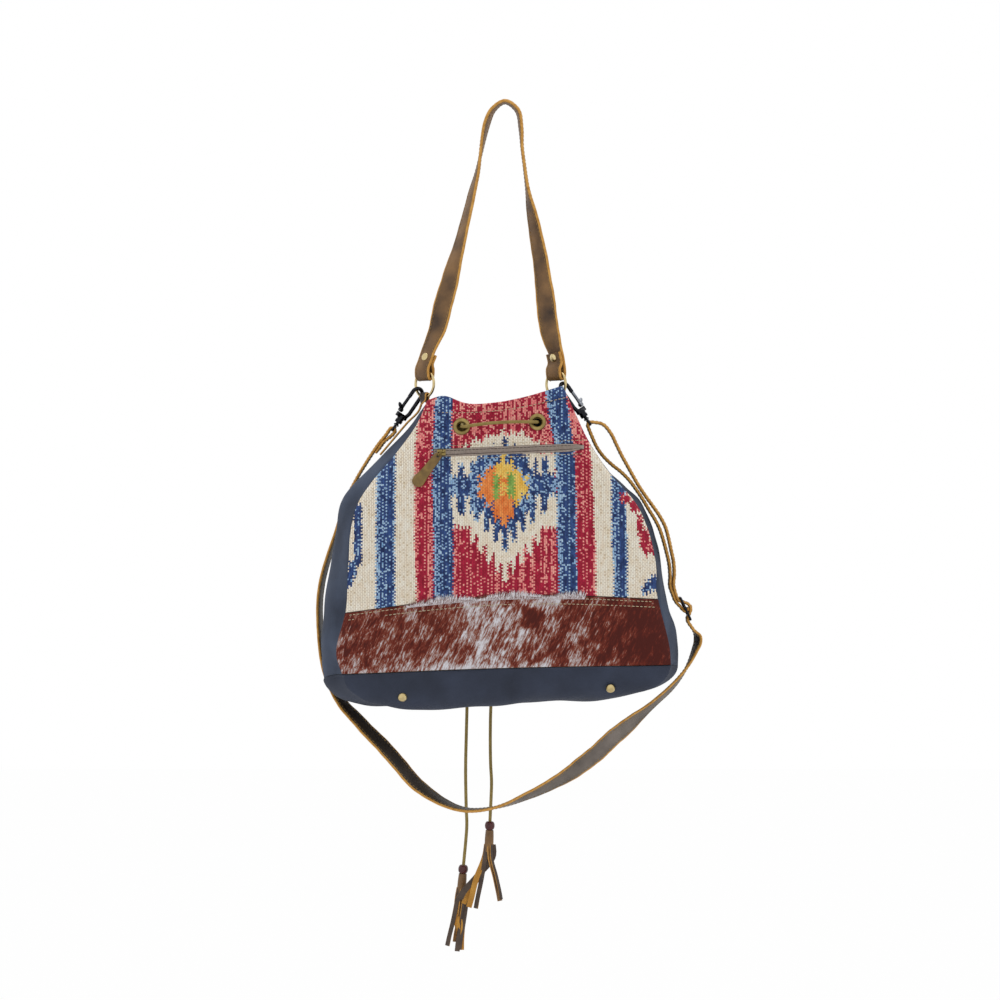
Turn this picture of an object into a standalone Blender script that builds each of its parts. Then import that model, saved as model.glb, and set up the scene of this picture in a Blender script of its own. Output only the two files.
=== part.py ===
"""Drawstring shoulder bag, hanging by its leather handle.

Metres, +Z up, seen from the front along +Y. The origin is the underside of the handle's
highest point, where a peg carries the bag.
"""
import math

import bmesh
import bpy
import numpy as np

MM = 0.001

# Cloth and leather thicknesses, from the outer face inwards
CLOTH = 2.0 * MM
POUCH_FACE = 2.9 * MM
POUCH_BACK = 4.6 * MM
LINING_FACE = 5.1 * MM
LINING_BACK = 6.3 * MM
HAIR = 0.6 * MM
SEAM_GAP = 0.0015
HOLE_CLEARANCE = 0.4 * MM
SEAT = 0.3 * MM

# The bag's walls, level by level from the mouth (0) to the base seam (1)
LEVELS = (0, 0.09, 0.19, 0.30, 0.37, 0.46, 0.58, 0.77, 0.93, 1)
LEFT_SEAM = np.array([
    (-86, -332), (-98, -357), (-119, -386), (-145, -417), (-159, -438),
    (-167, -465), (-170, -503), (-173, -559), (-182, -606), (-176, -625)]) * MM
RIGHT_SEAM = np.array([
    (64, -314), (77, -343), (92, -374), (117, -411), (140, -437),
    (154, -465), (163, -501), (165.5, -544), (178, -598), (179, -615)]) * MM
LEFT_FOLD = np.array([
    (-3, -4), (-12, -2), (-15.5, -1), (-19, -1), (-17, 0),
    (-17, -4), (-20, 0), (-27, 2), (-20, 8), (-23, -7)]) * MM
RIGHT_FOLD = np.array([
    (-2, -24), (-4, -9), (-4, -3), (6, 0), (7, 2),
    (7, 0), (8, 0), (14, -4), (13, 4), (11, -5)]) * MM
HALF_DEPTH = np.array([26, 28, 31, 36, 40, 43, 46, 50, 53, 54]) * MM
BELLY = np.array([8, 8, 8, 10, 11, 12, 13, 13, 11, 8]) * MM
ARCH = np.array([-9, -4, 2, 6, 8, 9, 10, 11, 6, 2]) * MM
BELLY_CROWN = (24, 24, 24, 24, 20, 16, 12, 9, 8, 8)
# Levels where every panel has a row of points, so that seams run side by side
ROWS = (0, 0.065, 0.13, 0.19, 0.25, 0.31, 0.37, 0.44, 0.52, 0.6, 0.685, 0.77, 0.85, 0.93, 1)
BASE_LOW_Z = -659.5 * MM
BASE_SLOPE = 0.049
BASE_BOXINESS = 5
HIDE_TOP_LEVEL = 0.77
GATHER_HEIGHT = 1.2 * MM
GATHERS = 5
GATHER_FADE = 0.07

# Zip pocket
ZIP_LEFT = (-78 * MM, -386 * MM)
ZIP_RIGHT = (86 * MM, -379 * MM)
ZIP_WINDOW_HEIGHT = 9.5 * MM
ZIP_TAPE_THICKNESS = 1.0 * MM
ZIP_CHAIN_HEIGHT = 4.2 * MM
ZIP_CHAIN_THICKNESS = 1.6 * MM
ZIP_TOOTH_PITCH = 5 * MM
ZIP_SLIDER_LENGTH = 9.0 * MM
ZIP_SLIDER_WALL = 1.0 * MM
ZIP_BRIDGE_SPAN = 6.6 * MM
ZIP_BRIDGE_RISE = 3.4 * MM
ZIP_WIRE = 0.7 * MM
PULL_RING_RADIUS = 4.2 * MM
PULL_RING_FLATNESS = 0.56
PULL_HEIGHT = 3.6 * MM
PULL_DROP = 0.03
PULL_LENGTH = 41 * MM
PULL_NECK = 4.6 * MM
PULL_BULB = 6.8 * MM
PULL_THICKNESS = 2.2 * MM
PULL_LEAN = math.radians(40)
POUCH_U = (0.2, 0.92)
POUCH_V = (0.245, 0.62)

# Eyelets and lace
EYELET_BORE = 4.8 * MM
EYELET_BARREL = 5.6 * MM
EYELET_FLANGE = 9.4 * MM
EYELETS = {
    "eyelet_front_left": (-47.3 * MM, -356.9 * MM, -1),
    "eyelet_front_right": (35.2 * MM, -352.0 * MM, -1),
    "eyelet_back_left": (-47.3 * MM, -352.0 * MM, 1),
    "eyelet_back_right": (35.2 * MM, -350.0 * MM, 1),
}
LACE_RADIUS = 1.8 * MM
LACE_HELD_ROUTE = np.array([
    (-47.3, 35.5, -352), (-47.3, 20, -352.6), (-47.3, 0, -354.6), (-47.3, -22, -356.6),
    (-47.3, -36, -356.9), (-44.5, -43, -357), (-37, -45.6, -356), (-22, -46.2, -354),
    (-5, -46.4, -352.6), (11, -46, -352), (25, -45, -352), (32.4, -42, -352),
    (35.2, -35, -352), (35.2, -20, -351.8), (35.2, 0, -351), (35.2, 20, -350.2),
    (35.2, 35.5, -350)]) * MM
LACE_LEFT_ROUTE = np.array([
    (-47.3, 36.4, -352), (-47.3, 42, -352.3), (-47.3, 46.6, -356), (-47.2, 48.6, -365),
    (-47, 51.5, -385), (-46.6, 57, -415), (-46, 61.5, -450), (-45.2, 65, -490),
    (-44.4, 68, -535), (-43.6, 69.5, -580), (-43, 69.5, -625), (-42.6, 69, -665),
    (-43.4, 69, -700), (-44.2, 69, -740), (-43.6, 69, -780)]) * MM
LACE_RIGHT_ROUTE = np.array([
    (35.2, 36.4, -350), (35.2, 42, -350.3), (34.8, 46.6, -354), (33.6, 48.6, -363),
    (30.4, 51.5, -384), (25, 57, -415), (18.6, 61.5, -450), (11, 65, -490),
    (2.6, 68, -535), (-5.6, 69.5, -580), (-12.4, 69.5, -625), (-15.6, 69, -665),
    (-16.4, 66, -700), (-16, 60, -733)]) * MM
LACE_HELD_SPACING = 11 * MM
LACE_TAIL_SPACING = 19 * MM
LACE_END_LEFT = (-0.09, 0, -1)
LACE_END_RIGHT = (-0.045, 0, -1)
BEAD_RADIUS = 5.5 * MM
BEAD_HALF_LENGTH = 4.6 * MM
BEAD_LEFT = np.array([-46.95, 69, -852]) * MM
BEAD_RIGHT = np.array([-16.95, 56, -801.5]) * MM

# Tassels: where each strip's tip hangs, measured from the head's top
TASSEL_HEAD_RADIUS = 5.0 * MM
TASSEL_HEAD_LENGTH = 22 * MM
TASSEL_BORE_DEPTH = 18 * MM
TASSEL_GAP = 0.6 * MM
TASSEL_STRIP_WIDTH = 5.0 * MM
TASSEL_STRIP_THICKNESS = 1.5 * MM
TASSEL_LEFT_TIPS = np.array([
    (-6.5, -3, -90), (-1, -2, -88.5), (-3.5, 3, -86), (-18, 0, -84), (-9, 4, -80)]) * MM
TASSEL_RIGHT_TIPS = np.array([
    (-38, -2, -82), (-30, 4, -86), (-24, -3, -89), (-16, 2, -91), (12, 0, -82)]) * MM

# Handle, rings and tabs
HANDLE_WIDTH = 22 * MM
HANDLE_THICKNESS = 3.2 * MM
HANDLE_FLAP = 27 * MM
RING_RADIUS = 14.5 * MM
RING_WIRE = 1.5 * MM
RING_TURN = math.radians(45)
RING_LEFT = np.array([-88.3, 0, -309]) * MM
RING_RIGHT = np.array([56.1, 0, -309]) * MM
HANDLE_FOLD_RISE = 8.6 * MM
HANDLE_LEG = 8.5 * MM
RIVET_HEIGHT_ON_FLAP = 21.3 * MM
RIVET_CAP = 4.5 * MM
RIVET_SHANK = 1.5 * MM
# x, y, z in millimetres and how far the strap's width is turned from X, in degrees
HANDLE_ROUTE = np.array([
    (-88.3, -1.8, -284, 45), (-83.5, -1, -271, 44), (-75.5, 0, -252, 32), (-69.9, 0, -230, 20),
    (-59.5, 0, -191, 32), (-52.8, 0, -166, 50), (-47.8, 0, -147, 58), (-41.2, 0, -120, 65),
    (-35.2, 0, -95, 71), (-30.6, 0, -77, 80), (-27, 0, -57, 90), (-24, 0, -40, 98),
    (-20.4, 0, -24, 104), (-13.4, 0, -7.6, 100), (0, 0, 1.6, 90), (13.6, 0, -8, 84),
    (17.5, 0, -27, 84), (18.9, 0, -49, 90), (21.5, 0, -70, 90), (24.8, 0, -95, 85),
    (29.2, 0, -120, 64), (35.2, 0, -151, 50), (41.6, 0, -191, 38), (46.4, 0, -232, 16),
    (51.2, 0.4, -260, 28), (55.2, 1, -272, 44), (57.9, 1.8, -284, 45)])
TAB_WIDTH = 10 * MM
TAB_THICKNESS = 2.0 * MM
TAB_SLACK = 1.7 * MM

# Swivel clasps: a runs from the pivot to the hook's nose, b across it, w through it. Each has
# its ring, where it hooks the ring, its axis, its turn, how far the ring's wire stands from its
# pivot along a and b, and which way its gate faces
CLASPS = {
    "left": (RING_LEFT, 225, (0.56, 0, 0.83), 20, 32.5 * MM, 1 * MM, -1),
    "right": (RING_RIGHT, -24, (-0.57, 0, 0.82), 20, 31 * MM, 1 * MM, 1),
}
HOOK_HALF_WIDTH = 6.5 * MM
HOOK_BAR = 2.2 * MM
HOOK_CROWN = 31 * MM
HOOK_NOSE = 24 * MM
GATE_PIN = (7 * MM, -6.5 * MM)
GATE_BAR = 1.8 * MM
GATE_BOSS = 2.4 * MM
GATE_THICKNESS = 4.4 * MM
THUMB_REACH = 7 * MM
BARREL_RADIUS = 4.2 * MM
SWIVEL_NECK = 2.0 * MM
SWIVEL_HEAD = 3.0 * MM
EYE_WIRE = 1.4 * MM
EYE_TOP = -10.5 * MM
EYE_BAR = -17 * MM

# Crossbody strap
STRAP_WIDTH = 19 * MM
STRAP_THICKNESS = 2.6 * MM
STRAP_FLAP = 34 * MM
STRAP_BEND = EYE_WIRE + SEAT + STRAP_THICKNESS / 2
EYE_HALF_WIDTH = STRAP_WIDTH / 2 + 0.8 * MM + EYE_WIRE
# x, y, z in millimetres and how far the near edge is turned outwards, in degrees
STRAP_LEFT_ROUTE = np.array([
    (-139.5, 13, -375, 0), (-152, 21, -393, 0), (-164.5, 30, -413, 0), (-177, 37, -438, 4),
    (-187, 42, -471, 8), (-197, 42, -502, 12), (-204, 40, -529, 14), (-206.5, 38, -556, 14),
    (-205.5, 38, -586, 14), (-201.5, 37, -618, 16), (-194, 34, -640, 20),
    (-181, 27, -661, 28), (-160, 17, -683, 38), (-124, 8, -719.5, 48), (-99, 5, -748, 44),
    (-71, 4, -768, 24), (-44, 4, -778, 5), (-16, 4, -776.5, -4), (3, 4, -771.5, -14),
    (20, 4, -764.5, -26), (60, 4, -745, -50), (88, 4, -726, -76), (125, 4, -693.5, -72),
    (161, 3, -663, -26), (185, 2, -641, -18), (198, 1, -624, -6), (208, 0, -604, 12),
    (212.5, 0, -588, 22)])
STRAP_OUTER_ROUTE = np.array([
    (186, 0, -511), (182, 0, -489), (174.5, 0, -462), (163, 0, -444), (149.5, -1, -425),
    (135.5, -3, -401), (124.5, -6, -381), (116, -7.5, -363.5), (106, -8, -353)]) * MM
STRAP_INNER_ROUTE = np.array([
    (94.5, -8, -365), (104, -7, -384), (117, -5, -397.5), (131, -3, -409),
    (146.5, -1, -428.5), (158, 0, -447), (168.5, 0, -465), (176.5, 0, -490),
    (181, 0, -511)]) * MM
SLIDER_CENTRE = np.array([198, 0, -556]) * MM
SLIDER_UP = np.array([-0.42, 0, 0.9075])
SLIDER_BAR = 1.3 * MM
SLIDER_PITCH = 13 * MM
SLIDER_HALF_WIDTH = STRAP_WIDTH / 2 + 0.7 * MM + SLIDER_BAR
# Along and out from the slider's middle bar, in millimetres
THREAD_THROUGH = [(-26, -1.2), (-19.5, -2.5), (-13, -3.1), (-11.8, -2.85), (-10.8, -2.2),
                  (-4.3, 4.3), (-2.3, 5.65), (0, 6.1), (2.3, 5.65), (4.3, 4.3),
                  (10.8, -2.2), (11.8, -2.85), (13, -3.1), (20, -2.6), (28, -1.0)]
THREAD_BACK = [(28, -5.2), (20, -5.8), (13, -6.3), (8, -5.4), (4, -3.9), (1.4, -3.1)]

FOOT_RADIUS = 5.0 * MM
FOOT_HEIGHT = 4.4 * MM
FEET = {"foot_front_left": (0.15, 0.31), "foot_front_right": (0.85, 0.31),
        "foot_back_left": (2.85, 0.34), "foot_back_right": (2.2, 0.34)}

UP = np.array([0.0, 0, 1])
TOWARDS_BACK = np.array([0.0, 1, 0])


def unit(vector):
    vector = np.asarray(vector, float)
    return vector / np.linalg.norm(vector)


def hermite(knots, values, t):
    """Smooth curve through values at the knots."""
    knots = np.asarray(knots, float)
    values = np.asarray(values, float)
    slopes = np.gradient(values, knots, axis=0)
    t = min(max(t, knots[0]), knots[-1])
    i = min(int(np.searchsorted(knots, t, side="right")) - 1, len(knots) - 2)
    span = knots[i + 1] - knots[i]
    f = (t - knots[i]) / span
    start = (1 + 2 * f) * (1 - f) ** 2 * values[i] + f * (1 - f) ** 2 * span * slopes[i]
    end = f * f * (3 - 2 * f) * values[i + 1] + f * f * (f - 1) * span * slopes[i + 1]
    return start + end


def smooth_path(points, spacing):
    """Points an even distance apart on a smooth curve; extra columns are blended too."""
    points = np.asarray(points, float)
    steps = np.linalg.norm(np.diff(points[:, :3], axis=0), axis=1)
    knots = np.concatenate([[0], np.cumsum(steps)])
    dense = np.array([hermite(knots, points, t) for t in np.linspace(0, knots[-1], 400)])
    run = np.concatenate([[0], np.cumsum(np.linalg.norm(np.diff(dense[:, :3], axis=0), axis=1))])
    count = max(2, round(run[-1] / spacing) + 1)
    stops = np.linspace(0, run[-1], count)
    return np.array([np.interp(stops, run, column) for column in dense.T]).T


def material(name, colour, roughness, metallic=0.0):
    made = bpy.data.materials.get(name) or bpy.data.materials.new(name)
    made.use_nodes = True
    shader = made.node_tree.nodes["Principled BSDF"]
    shader.inputs["Base Color"].default_value = (*colour, 1)
    shader.inputs["Roughness"].default_value = roughness
    shader.inputs["Metallic"].default_value = metallic
    made.diffuse_color = (*colour, 1)
    return made


def kilim_cloth():
    return material("kilim", (0.45, 0.12, 0.13), 0.9)


def hide_leather():
    return material("hair_on_hide", (0.35, 0.2, 0.16), 0.8)


def canvas():
    return material("canvas", (0.06, 0.08, 0.13), 0.9)


def lining_cloth():
    return material("lining", (0.32, 0.28, 0.22), 0.9)


def strap_leather():
    return material("leather", (0.2, 0.11, 0.05), 0.6)


def antique_brass():
    return material("antique_brass", (0.45, 0.33, 0.15), 0.35, 1.0)


def gunmetal():
    return material("gunmetal", (0.05, 0.05, 0.055), 0.35, 1.0)


def zip_cloth():
    return material("zip", (0.3, 0.25, 0.22), 0.7)


def lace_leather():
    return material("lace", (0.26, 0.19, 0.08), 0.7)


def dark_wood():
    return material("wood", (0.08, 0.02, 0.015), 0.4)


def mesh_object(name, points, faces, finish):
    """One closed solid with its faces pointing out."""
    mesh = bpy.data.meshes.new(name)
    mesh.from_pydata([tuple(p) for p in points], [], faces)
    shell = bmesh.new()
    shell.from_mesh(mesh)
    bmesh.ops.recalc_face_normals(shell, faces=shell.faces)
    shell.to_mesh(mesh)
    shell.free()
    mesh.materials.append(finish)
    piece = bpy.data.objects.new(name, mesh)
    bpy.context.scene.collection.objects.link(piece)
    return piece


def smooth(piece, degrees=40):
    piece.data.shade_smooth()
    piece.data.set_sharp_from_angle(angle=math.radians(degrees))
    return piece


def combine(piece, tool, operation):
    """Join or cut piece with tool, which is used up."""
    change = piece.modifiers.new("change", "BOOLEAN")
    change.operation = operation
    change.object = tool
    bpy.context.view_layer.update()
    seen = piece.evaluated_get(bpy.context.evaluated_depsgraph_get())
    mesh = bpy.data.meshes.new_from_object(seen)
    mesh.name = piece.name
    piece.modifiers.clear()
    piece.data = mesh
    bpy.data.objects.remove(tool)
    return piece


def loft(name, rings, finish, closed=False):
    """Skin rings of points into a solid, capped at both ends unless it closes on itself."""
    rings = np.asarray(rings)
    count, sides = rings.shape[:2]
    faces = []
    for i in range(count if closed else count - 1):
        here, there = i * sides, (i + 1) % count * sides
        for k in range(sides):
            after = (k + 1) % sides
            a, b, c, d = here + k, here + after, there + after, there + k
            faces += [(a, b, c), (a, c, d)] if 2 * k < sides else [(a, b, d), (b, c, d)]
    if not closed:
        faces.append(tuple(range(sides)))
        faces.append(tuple(range((count - 1) * sides, count * sides)))
    return mesh_object(name, rings.reshape(-1, 3), faces, finish)


def circle(radius, sides):
    turns = [2 * math.pi * k / sides for k in range(sides)]
    return [(radius * math.cos(t), radius * math.sin(t)) for t in turns]


def flat_section(width, thickness):
    w, t = width / 2, thickness / 2
    return [(-w, -t), (w, -t), (w, t), (-w, t)]


def sweep_rings(path, across, section, closed=False):
    """Rings of a section swept along path; across gives its first axis at each point."""
    path = np.asarray(path)
    across = np.broadcast_to(across, path.shape)
    rings = []
    for i, centre in enumerate(path):
        if closed:
            tangent = unit(path[(i + 1) % len(path)] - path[i - 1])
        else:
            tangent = unit(path[min(i + 1, len(path) - 1)] - path[max(i - 1, 0)])
        first = unit(across[i] - np.dot(across[i], tangent) * tangent)
        second = np.cross(tangent, first)
        rings.append([centre + a * first + b * second for a, b in section])
    return rings


def frame_points(points, origin, axes):
    """Points given along local axes, as world points."""
    return np.asarray(origin) + np.asarray(points) @ np.asarray(axes)


def turned(name, profile, origin, axis, segments, finish, ring=False):
    """Solid of revolution of (radius, height) points about axis."""
    axis = unit(axis)
    helper = TOWARDS_BACK if abs(axis[1]) < 0.9 else UP
    first = unit(np.cross(axis, helper))
    second = np.cross(axis, first)
    points, rows = [], []
    for radius, height in profile:
        if radius < 1e-9:
            rows.append([len(points)] * segments)
            points.append(origin + axis * height)
            continue
        rows.append(list(range(len(points), len(points) + segments)))
        for k in range(segments):
            turn = 2 * math.pi * k / segments
            out = first * math.cos(turn) + second * math.sin(turn)
            points.append(origin + axis * height + out * radius)
    faces = []
    for i in range(len(rows) if ring else len(rows) - 1):
        here, there = rows[i], rows[(i + 1) % len(rows)]
        for k in range(segments):
            after = (k + 1) % segments
            corners = dict.fromkeys((here[k], here[after], there[after], there[k]))
            faces.append(tuple(corners))
    return smooth(mesh_object(name, points, faces, finish))


def wall_point(u, v, depth=0.0):
    """A point of the bag: u runs round it (0 front, 1 right, 2 back, 3 left), v down the
    wall from 0 to 1 and on under the base to its middle at 2, depth inwards."""
    level = min(v, 1)
    left_x, left_z = hermite(LEVELS, LEFT_SEAM, level)
    right_x, right_z = hermite(LEVELS, RIGHT_SEAM, level)
    left_x += depth
    right_x -= depth
    half = hermite(LEVELS, HALF_DEPTH, level) - depth
    side, t = divmod(u % 4, 1)
    if side in (0, 2):
        s = t if side == 0 else 1 - t
        gather = GATHER_HEIGHT * math.sin(2 * math.pi * GATHERS * s) * max(0, 1 - v / GATHER_FADE)
        x = left_x + (right_x - left_x) * s
        z = left_z + (right_z - left_z) * s + hermite(LEVELS, ARCH, level) * math.sin(math.pi * s)
        crown = hermite(LEVELS, BELLY_CROWN, level)
        belly = hermite(LEVELS, BELLY, level) * (1 - abs(2 * s - 1) ** crown)
        y = half + belly + gather * math.sin(math.pi * s)
        y = -y if side == 0 else y
    else:
        seam_x, seam_z, fold = right_x, right_z, RIGHT_FOLD
        if side == 3:
            seam_x, seam_z, fold = left_x, left_z, LEFT_FOLD
        fold_x, fold_z = hermite(LEVELS, fold, level)
        x = seam_x + fold_x * math.sin(math.pi * t)
        z = seam_z + fold_z * math.sin(math.pi * t) ** 2
        y = -half * (1 - 2 * t) * (1 if side == 1 else -1)
    if v > 1:
        reach = 1 - (v - 1) ** 2
        drop = math.sqrt(1 - reach ** BASE_BOXINESS)
        middle = (left_x + right_x) / 2
        x = middle + (x - middle) * reach
        y *= reach
        z = z * (1 - drop) + (BASE_LOW_Z + BASE_SLOPE * x + depth) * drop
    return np.array([x, y, z])


def panel_level(x, z, side):
    """The u and v of the front (side -1) or back (side 1) panel's point at x and z."""
    low, high = 0.0, 1.0
    for _ in range(40):
        v = (low + high) / 2
        left_x = hermite(LEVELS, LEFT_SEAM, v)[0]
        right_x = hermite(LEVELS, RIGHT_SEAM, v)[0]
        s = (x - left_x) / (right_x - left_x)
        u = s if side < 0 else 3 - s
        if wall_point(u, v)[2] > z:
            low = v
        else:
            high = v
    return u, v


def panel_point(x, z, side, depth=0.0):
    """Point of a panel at x and z, moved straight back by depth."""
    point = wall_point(*panel_level(x, z, side))
    return point - side * depth * TOWARDS_BACK


def panel_normal(x, z, side, step=4 * MM):
    """Outward normal of a panel, over a small patch."""
    along = panel_point(x + step, z, side) - panel_point(x - step, z, side)
    up = panel_point(x, z + step, side) - panel_point(x, z - step, side)
    return unit(np.cross(along, up) * -side)


def rows_between(low, high):
    return [low, *[v for v in ROWS if low + 0.01 < v < high - 0.01], high]


def cloth_patch(name, u_range, v_range, steps, finish, faces_at=(0.0, CLOTH)):
    """A sewn panel of even thickness, cut from the bag's wall."""
    us = np.linspace(*u_range, steps + 1)
    vs = rows_between(*v_range)
    columns = len(us)
    points = [wall_point(u, v, depth) for depth in faces_at for v in vs for u in us]
    inner = columns * len(vs)
    faces = []
    for j in range(len(vs) - 1):
        for i in range(columns - 1):
            a = j * columns + i
            quad = (a, a + 1, a + columns + 1, a + columns)
            faces.append(quad)
            faces.append(tuple(inner + k for k in reversed(quad)))
    last = inner - columns
    for i in range(columns - 1):
        faces.append((i, inner + i, inner + i + 1, i + 1))
        faces.append((last + i, last + i + 1, inner + last + i + 1, inner + last + i))
    for j in range(len(vs) - 1):
        a, b = j * columns, (j + 1) * columns
        faces.append((a, b, inner + b, inner + a))
        c, d = a + columns - 1, b + columns - 1
        faces.append((c, inner + c, inner + d, d))
    return smooth(mesh_object(name, points, faces, finish), 60)


def cloth_cup(name, us, vs, faces_at, finish):
    """A panel that closes round the bag and under its middle; its edge is at vs[0]."""
    points, faces = [], []
    count = len(us)
    for depth in faces_at:
        points += [wall_point(u, v, depth) for v in vs for u in us]
        points.append(wall_point(0, 2, depth))
    inner = count * len(vs) + 1
    for base in (0, inner):
        for j in range(len(vs) - 1):
            for i in range(count):
                a, b = base + j * count + i, base + j * count + (i + 1) % count
                faces.append((a, b, b + count, a + count))
        pole = base + inner - 1
        last = base + (len(vs) - 1) * count
        faces += [(last + i, last + (i + 1) % count, pole) for i in range(count)]
    faces += [(i, (i + 1) % count, inner + (i + 1) % count, inner + i) for i in range(count)]
    return smooth(mesh_object(name, points, faces, finish), 60)


def round_the_bag(front, gusset, back):
    """Values of u round the bag, with so many steps for each panel."""
    steps = (front, gusset, back, gusset)
    return [side + k / n for side, n in enumerate(steps) for k in range(n)]


def body_panels():
    seam = SEAM_GAP
    kilim = cloth_patch("kilim_front_panel", (seam, 1 - seam), (0, HIDE_TOP_LEVEL - seam),
                        22, kilim_cloth())
    cloth_patch("hide_front_panel", (seam, 1 - seam), (HIDE_TOP_LEVEL + seam, 1 - seam),
                22, hide_leather(), (-HAIR, CLOTH))
    back = cloth_patch("canvas_back_panel", (2 + seam, 3 - seam), (0, 1 - seam), 14, canvas())
    cloth_patch("canvas_gusset_right", (1 + seam, 2 - seam), (0, 1 - seam), 6, canvas())
    cloth_patch("canvas_gusset_left", (3 + seam, 4 - seam), (0, 1 - seam), 6, canvas())
    cloth_cup("canvas_base", round_the_bag(16, 5, 12), (1.02, 1.1, 1.22, 1.4, 1.65),
              (0.0, CLOTH), canvas())
    lining = cloth_cup("lining", round_the_bag(11, 4, 7), (*ROWS[:-1], 1.06, 1.22, 1.5),
                       (LINING_FACE, LINING_BACK), lining_cloth())
    cloth_patch("zip_pocket_pouch", POUCH_U, POUCH_V, 11, lining_cloth(),
                (POUCH_FACE, POUCH_BACK))
    return kilim, back, lining


def box_between(name, origin, axes, low, high, finish):
    """A box given by its low and high corners along local axes."""
    outline = [(low[0], low[2]), (high[0], low[2]), (high[0], high[2]), (low[0], high[2])]
    rings = [frame_points([(x, y, z) for x, z in outline], origin, axes)
             for y in (low[1], high[1])]
    return loft(name, rings, finish)


def zip_frame():
    """The zip's middle, its length, and its axes: along, into the bag, up."""
    left = panel_point(*ZIP_LEFT, -1)
    right = panel_point(*ZIP_RIGHT, -1)
    along = unit(right - left)
    middle = (left + right) / 2
    inwards = -panel_normal(middle[0], middle[2], -1)
    up = unit(np.cross(along, inwards))
    inwards = np.cross(up, along)
    return middle, np.linalg.norm(right - left), np.array([along, inwards, up])


def zip_pocket(kilim):
    middle, length, axes = zip_frame()
    half = length / 2
    edge = ZIP_WINDOW_HEIGHT / 2
    cutter = box_between("window", middle, axes, (-half, -12 * MM, -edge),
                         (half, CLOTH + 3 * MM, edge), zip_cloth())
    combine(kilim, cutter, "DIFFERENCE")
    face = 0.6 * MM
    box_between("zip_tape", middle, axes, (-half + SEAT, face, -edge + SEAT),
                (half - SEAT, face + ZIP_TAPE_THICKNESS, edge - SEAT), zip_cloth())
    zip_chain(middle, half - 3 * MM, axes, face - SEAT)
    top = face - SEAT - ZIP_CHAIN_THICKNESS
    slider_middle = middle - axes[0] * (half - 9 * MM)
    zip_slider(slider_middle, axes, top)
    zip_pull(slider_middle, axes, top)


def zip_chain(middle, half, axes, back):
    """Closed teeth: a bar whose front rises and falls once a tooth."""
    teeth = int(2 * half / ZIP_TOOTH_PITCH)
    edge = ZIP_CHAIN_HEIGHT / 2
    rings = []
    for k in range(2 * teeth + 1):
        x = -half + k * half / teeth
        front = back - (ZIP_CHAIN_THICKNESS if k % 2 else 0.6 * ZIP_CHAIN_THICKNESS)
        section = [(x, back, -edge), (x, back, edge), (x, front, 0.8 * edge), (x, front, -0.8 * edge)]
        rings.append(frame_points(section, middle, axes))
    loft("zip_chain", rings, zip_cloth())


def zip_slider(centre, axes, top):
    """A channel over the teeth with a bridge that carries the pull."""
    side = ZIP_CHAIN_HEIGHT / 2 + SEAT
    outer = side + ZIP_SLIDER_WALL
    under = top - SEAT
    over = under - ZIP_SLIDER_WALL
    skirt = top + 0.8 * ZIP_CHAIN_THICKNESS
    section = [(-outer, skirt), (-outer, over), (outer, over), (outer, skirt),
               (side, skirt), (side, under), (-side, under), (-side, skirt)]
    half = ZIP_SLIDER_LENGTH / 2
    rings = [frame_points([(x, y, z) for z, y in section], centre, axes) for x in (-half, half)]
    slider = loft("zip_slider", rings, antique_brass())
    span = ZIP_BRIDGE_SPAN / 2
    arch = [(-span, over + 0.5 * MM, 0)]
    for k in range(7):
        turn = math.pi * k / 6
        arch.append((-span * math.cos(turn), over - ZIP_BRIDGE_RISE * math.sin(turn) ** 0.6, 0))
    arch.append((span, over + 0.5 * MM, 0))
    path = frame_points(arch, centre, axes)
    bridge = loft("bridge", sweep_rings(path, axes[2], circle(ZIP_WIRE, 6)), antique_brass())
    combine(slider, bridge, "UNION")


def zip_pull(centre, axes, top):
    """A wire ring through the bridge and a leather pull that hangs from it."""
    over = top - SEAT - ZIP_SLIDER_WALL
    bridge = centre + axes[1] * (over - PULL_HEIGHT)
    down = -axes[2] * math.cos(PULL_LEAN) - axes[0] * math.sin(PULL_LEAN)
    down = unit(down + PULL_DROP * axes[1])
    sideways = unit(np.cross(axes[1], down))
    outwards = np.cross(sideways, down)
    ring_centre = bridge + down * (PULL_RING_RADIUS - 3 * ZIP_WIRE)
    turns = [2 * math.pi * k / 14 for k in range(14)]
    path = [ring_centre + PULL_RING_RADIUS
            * (down * math.cos(t) + PULL_RING_FLATNESS * outwards * math.sin(t)) for t in turns]
    smooth(loft("zip_pull_ring", sweep_rings(path, sideways, circle(ZIP_WIRE, 6), True),
                antique_brass(), True))
    hole = ring_centre + down * PULL_RING_RADIUS
    stations = [(-2.9 * MM, 0.55), (-1.6 * MM, 0.84), (3 * MM, 1.0), (PULL_LENGTH * 0.45, 1.08)]
    outline = []
    for side in (1, -1):
        edge = [(along, side * share * PULL_NECK) for along, share in stations]
        for k in range(7):
            turn = math.pi / 2 * k / 6
            bulb = PULL_LENGTH - PULL_BULB * (1 - math.sin(turn))
            edge.append((bulb, side * PULL_BULB * math.cos(turn) if k < 6 else 0))
        outline += edge if side == 1 else list(reversed(edge[:-1]))
    thick = PULL_THICKNESS / 2
    rings = [[hole + down * a + sideways * b + outwards * depth for a, b in outline]
             for depth in (-thick, thick)]
    tab = loft("zip_pull_tab", rings, strap_leather())
    bore = turned("bore", [(0, -5 * MM), (1.7 * MM, -5 * MM), (1.7 * MM, 5 * MM), (0, 5 * MM)],
                  hole, outwards, 10, strap_leather())
    combine(tab, bore, "DIFFERENCE")


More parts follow.
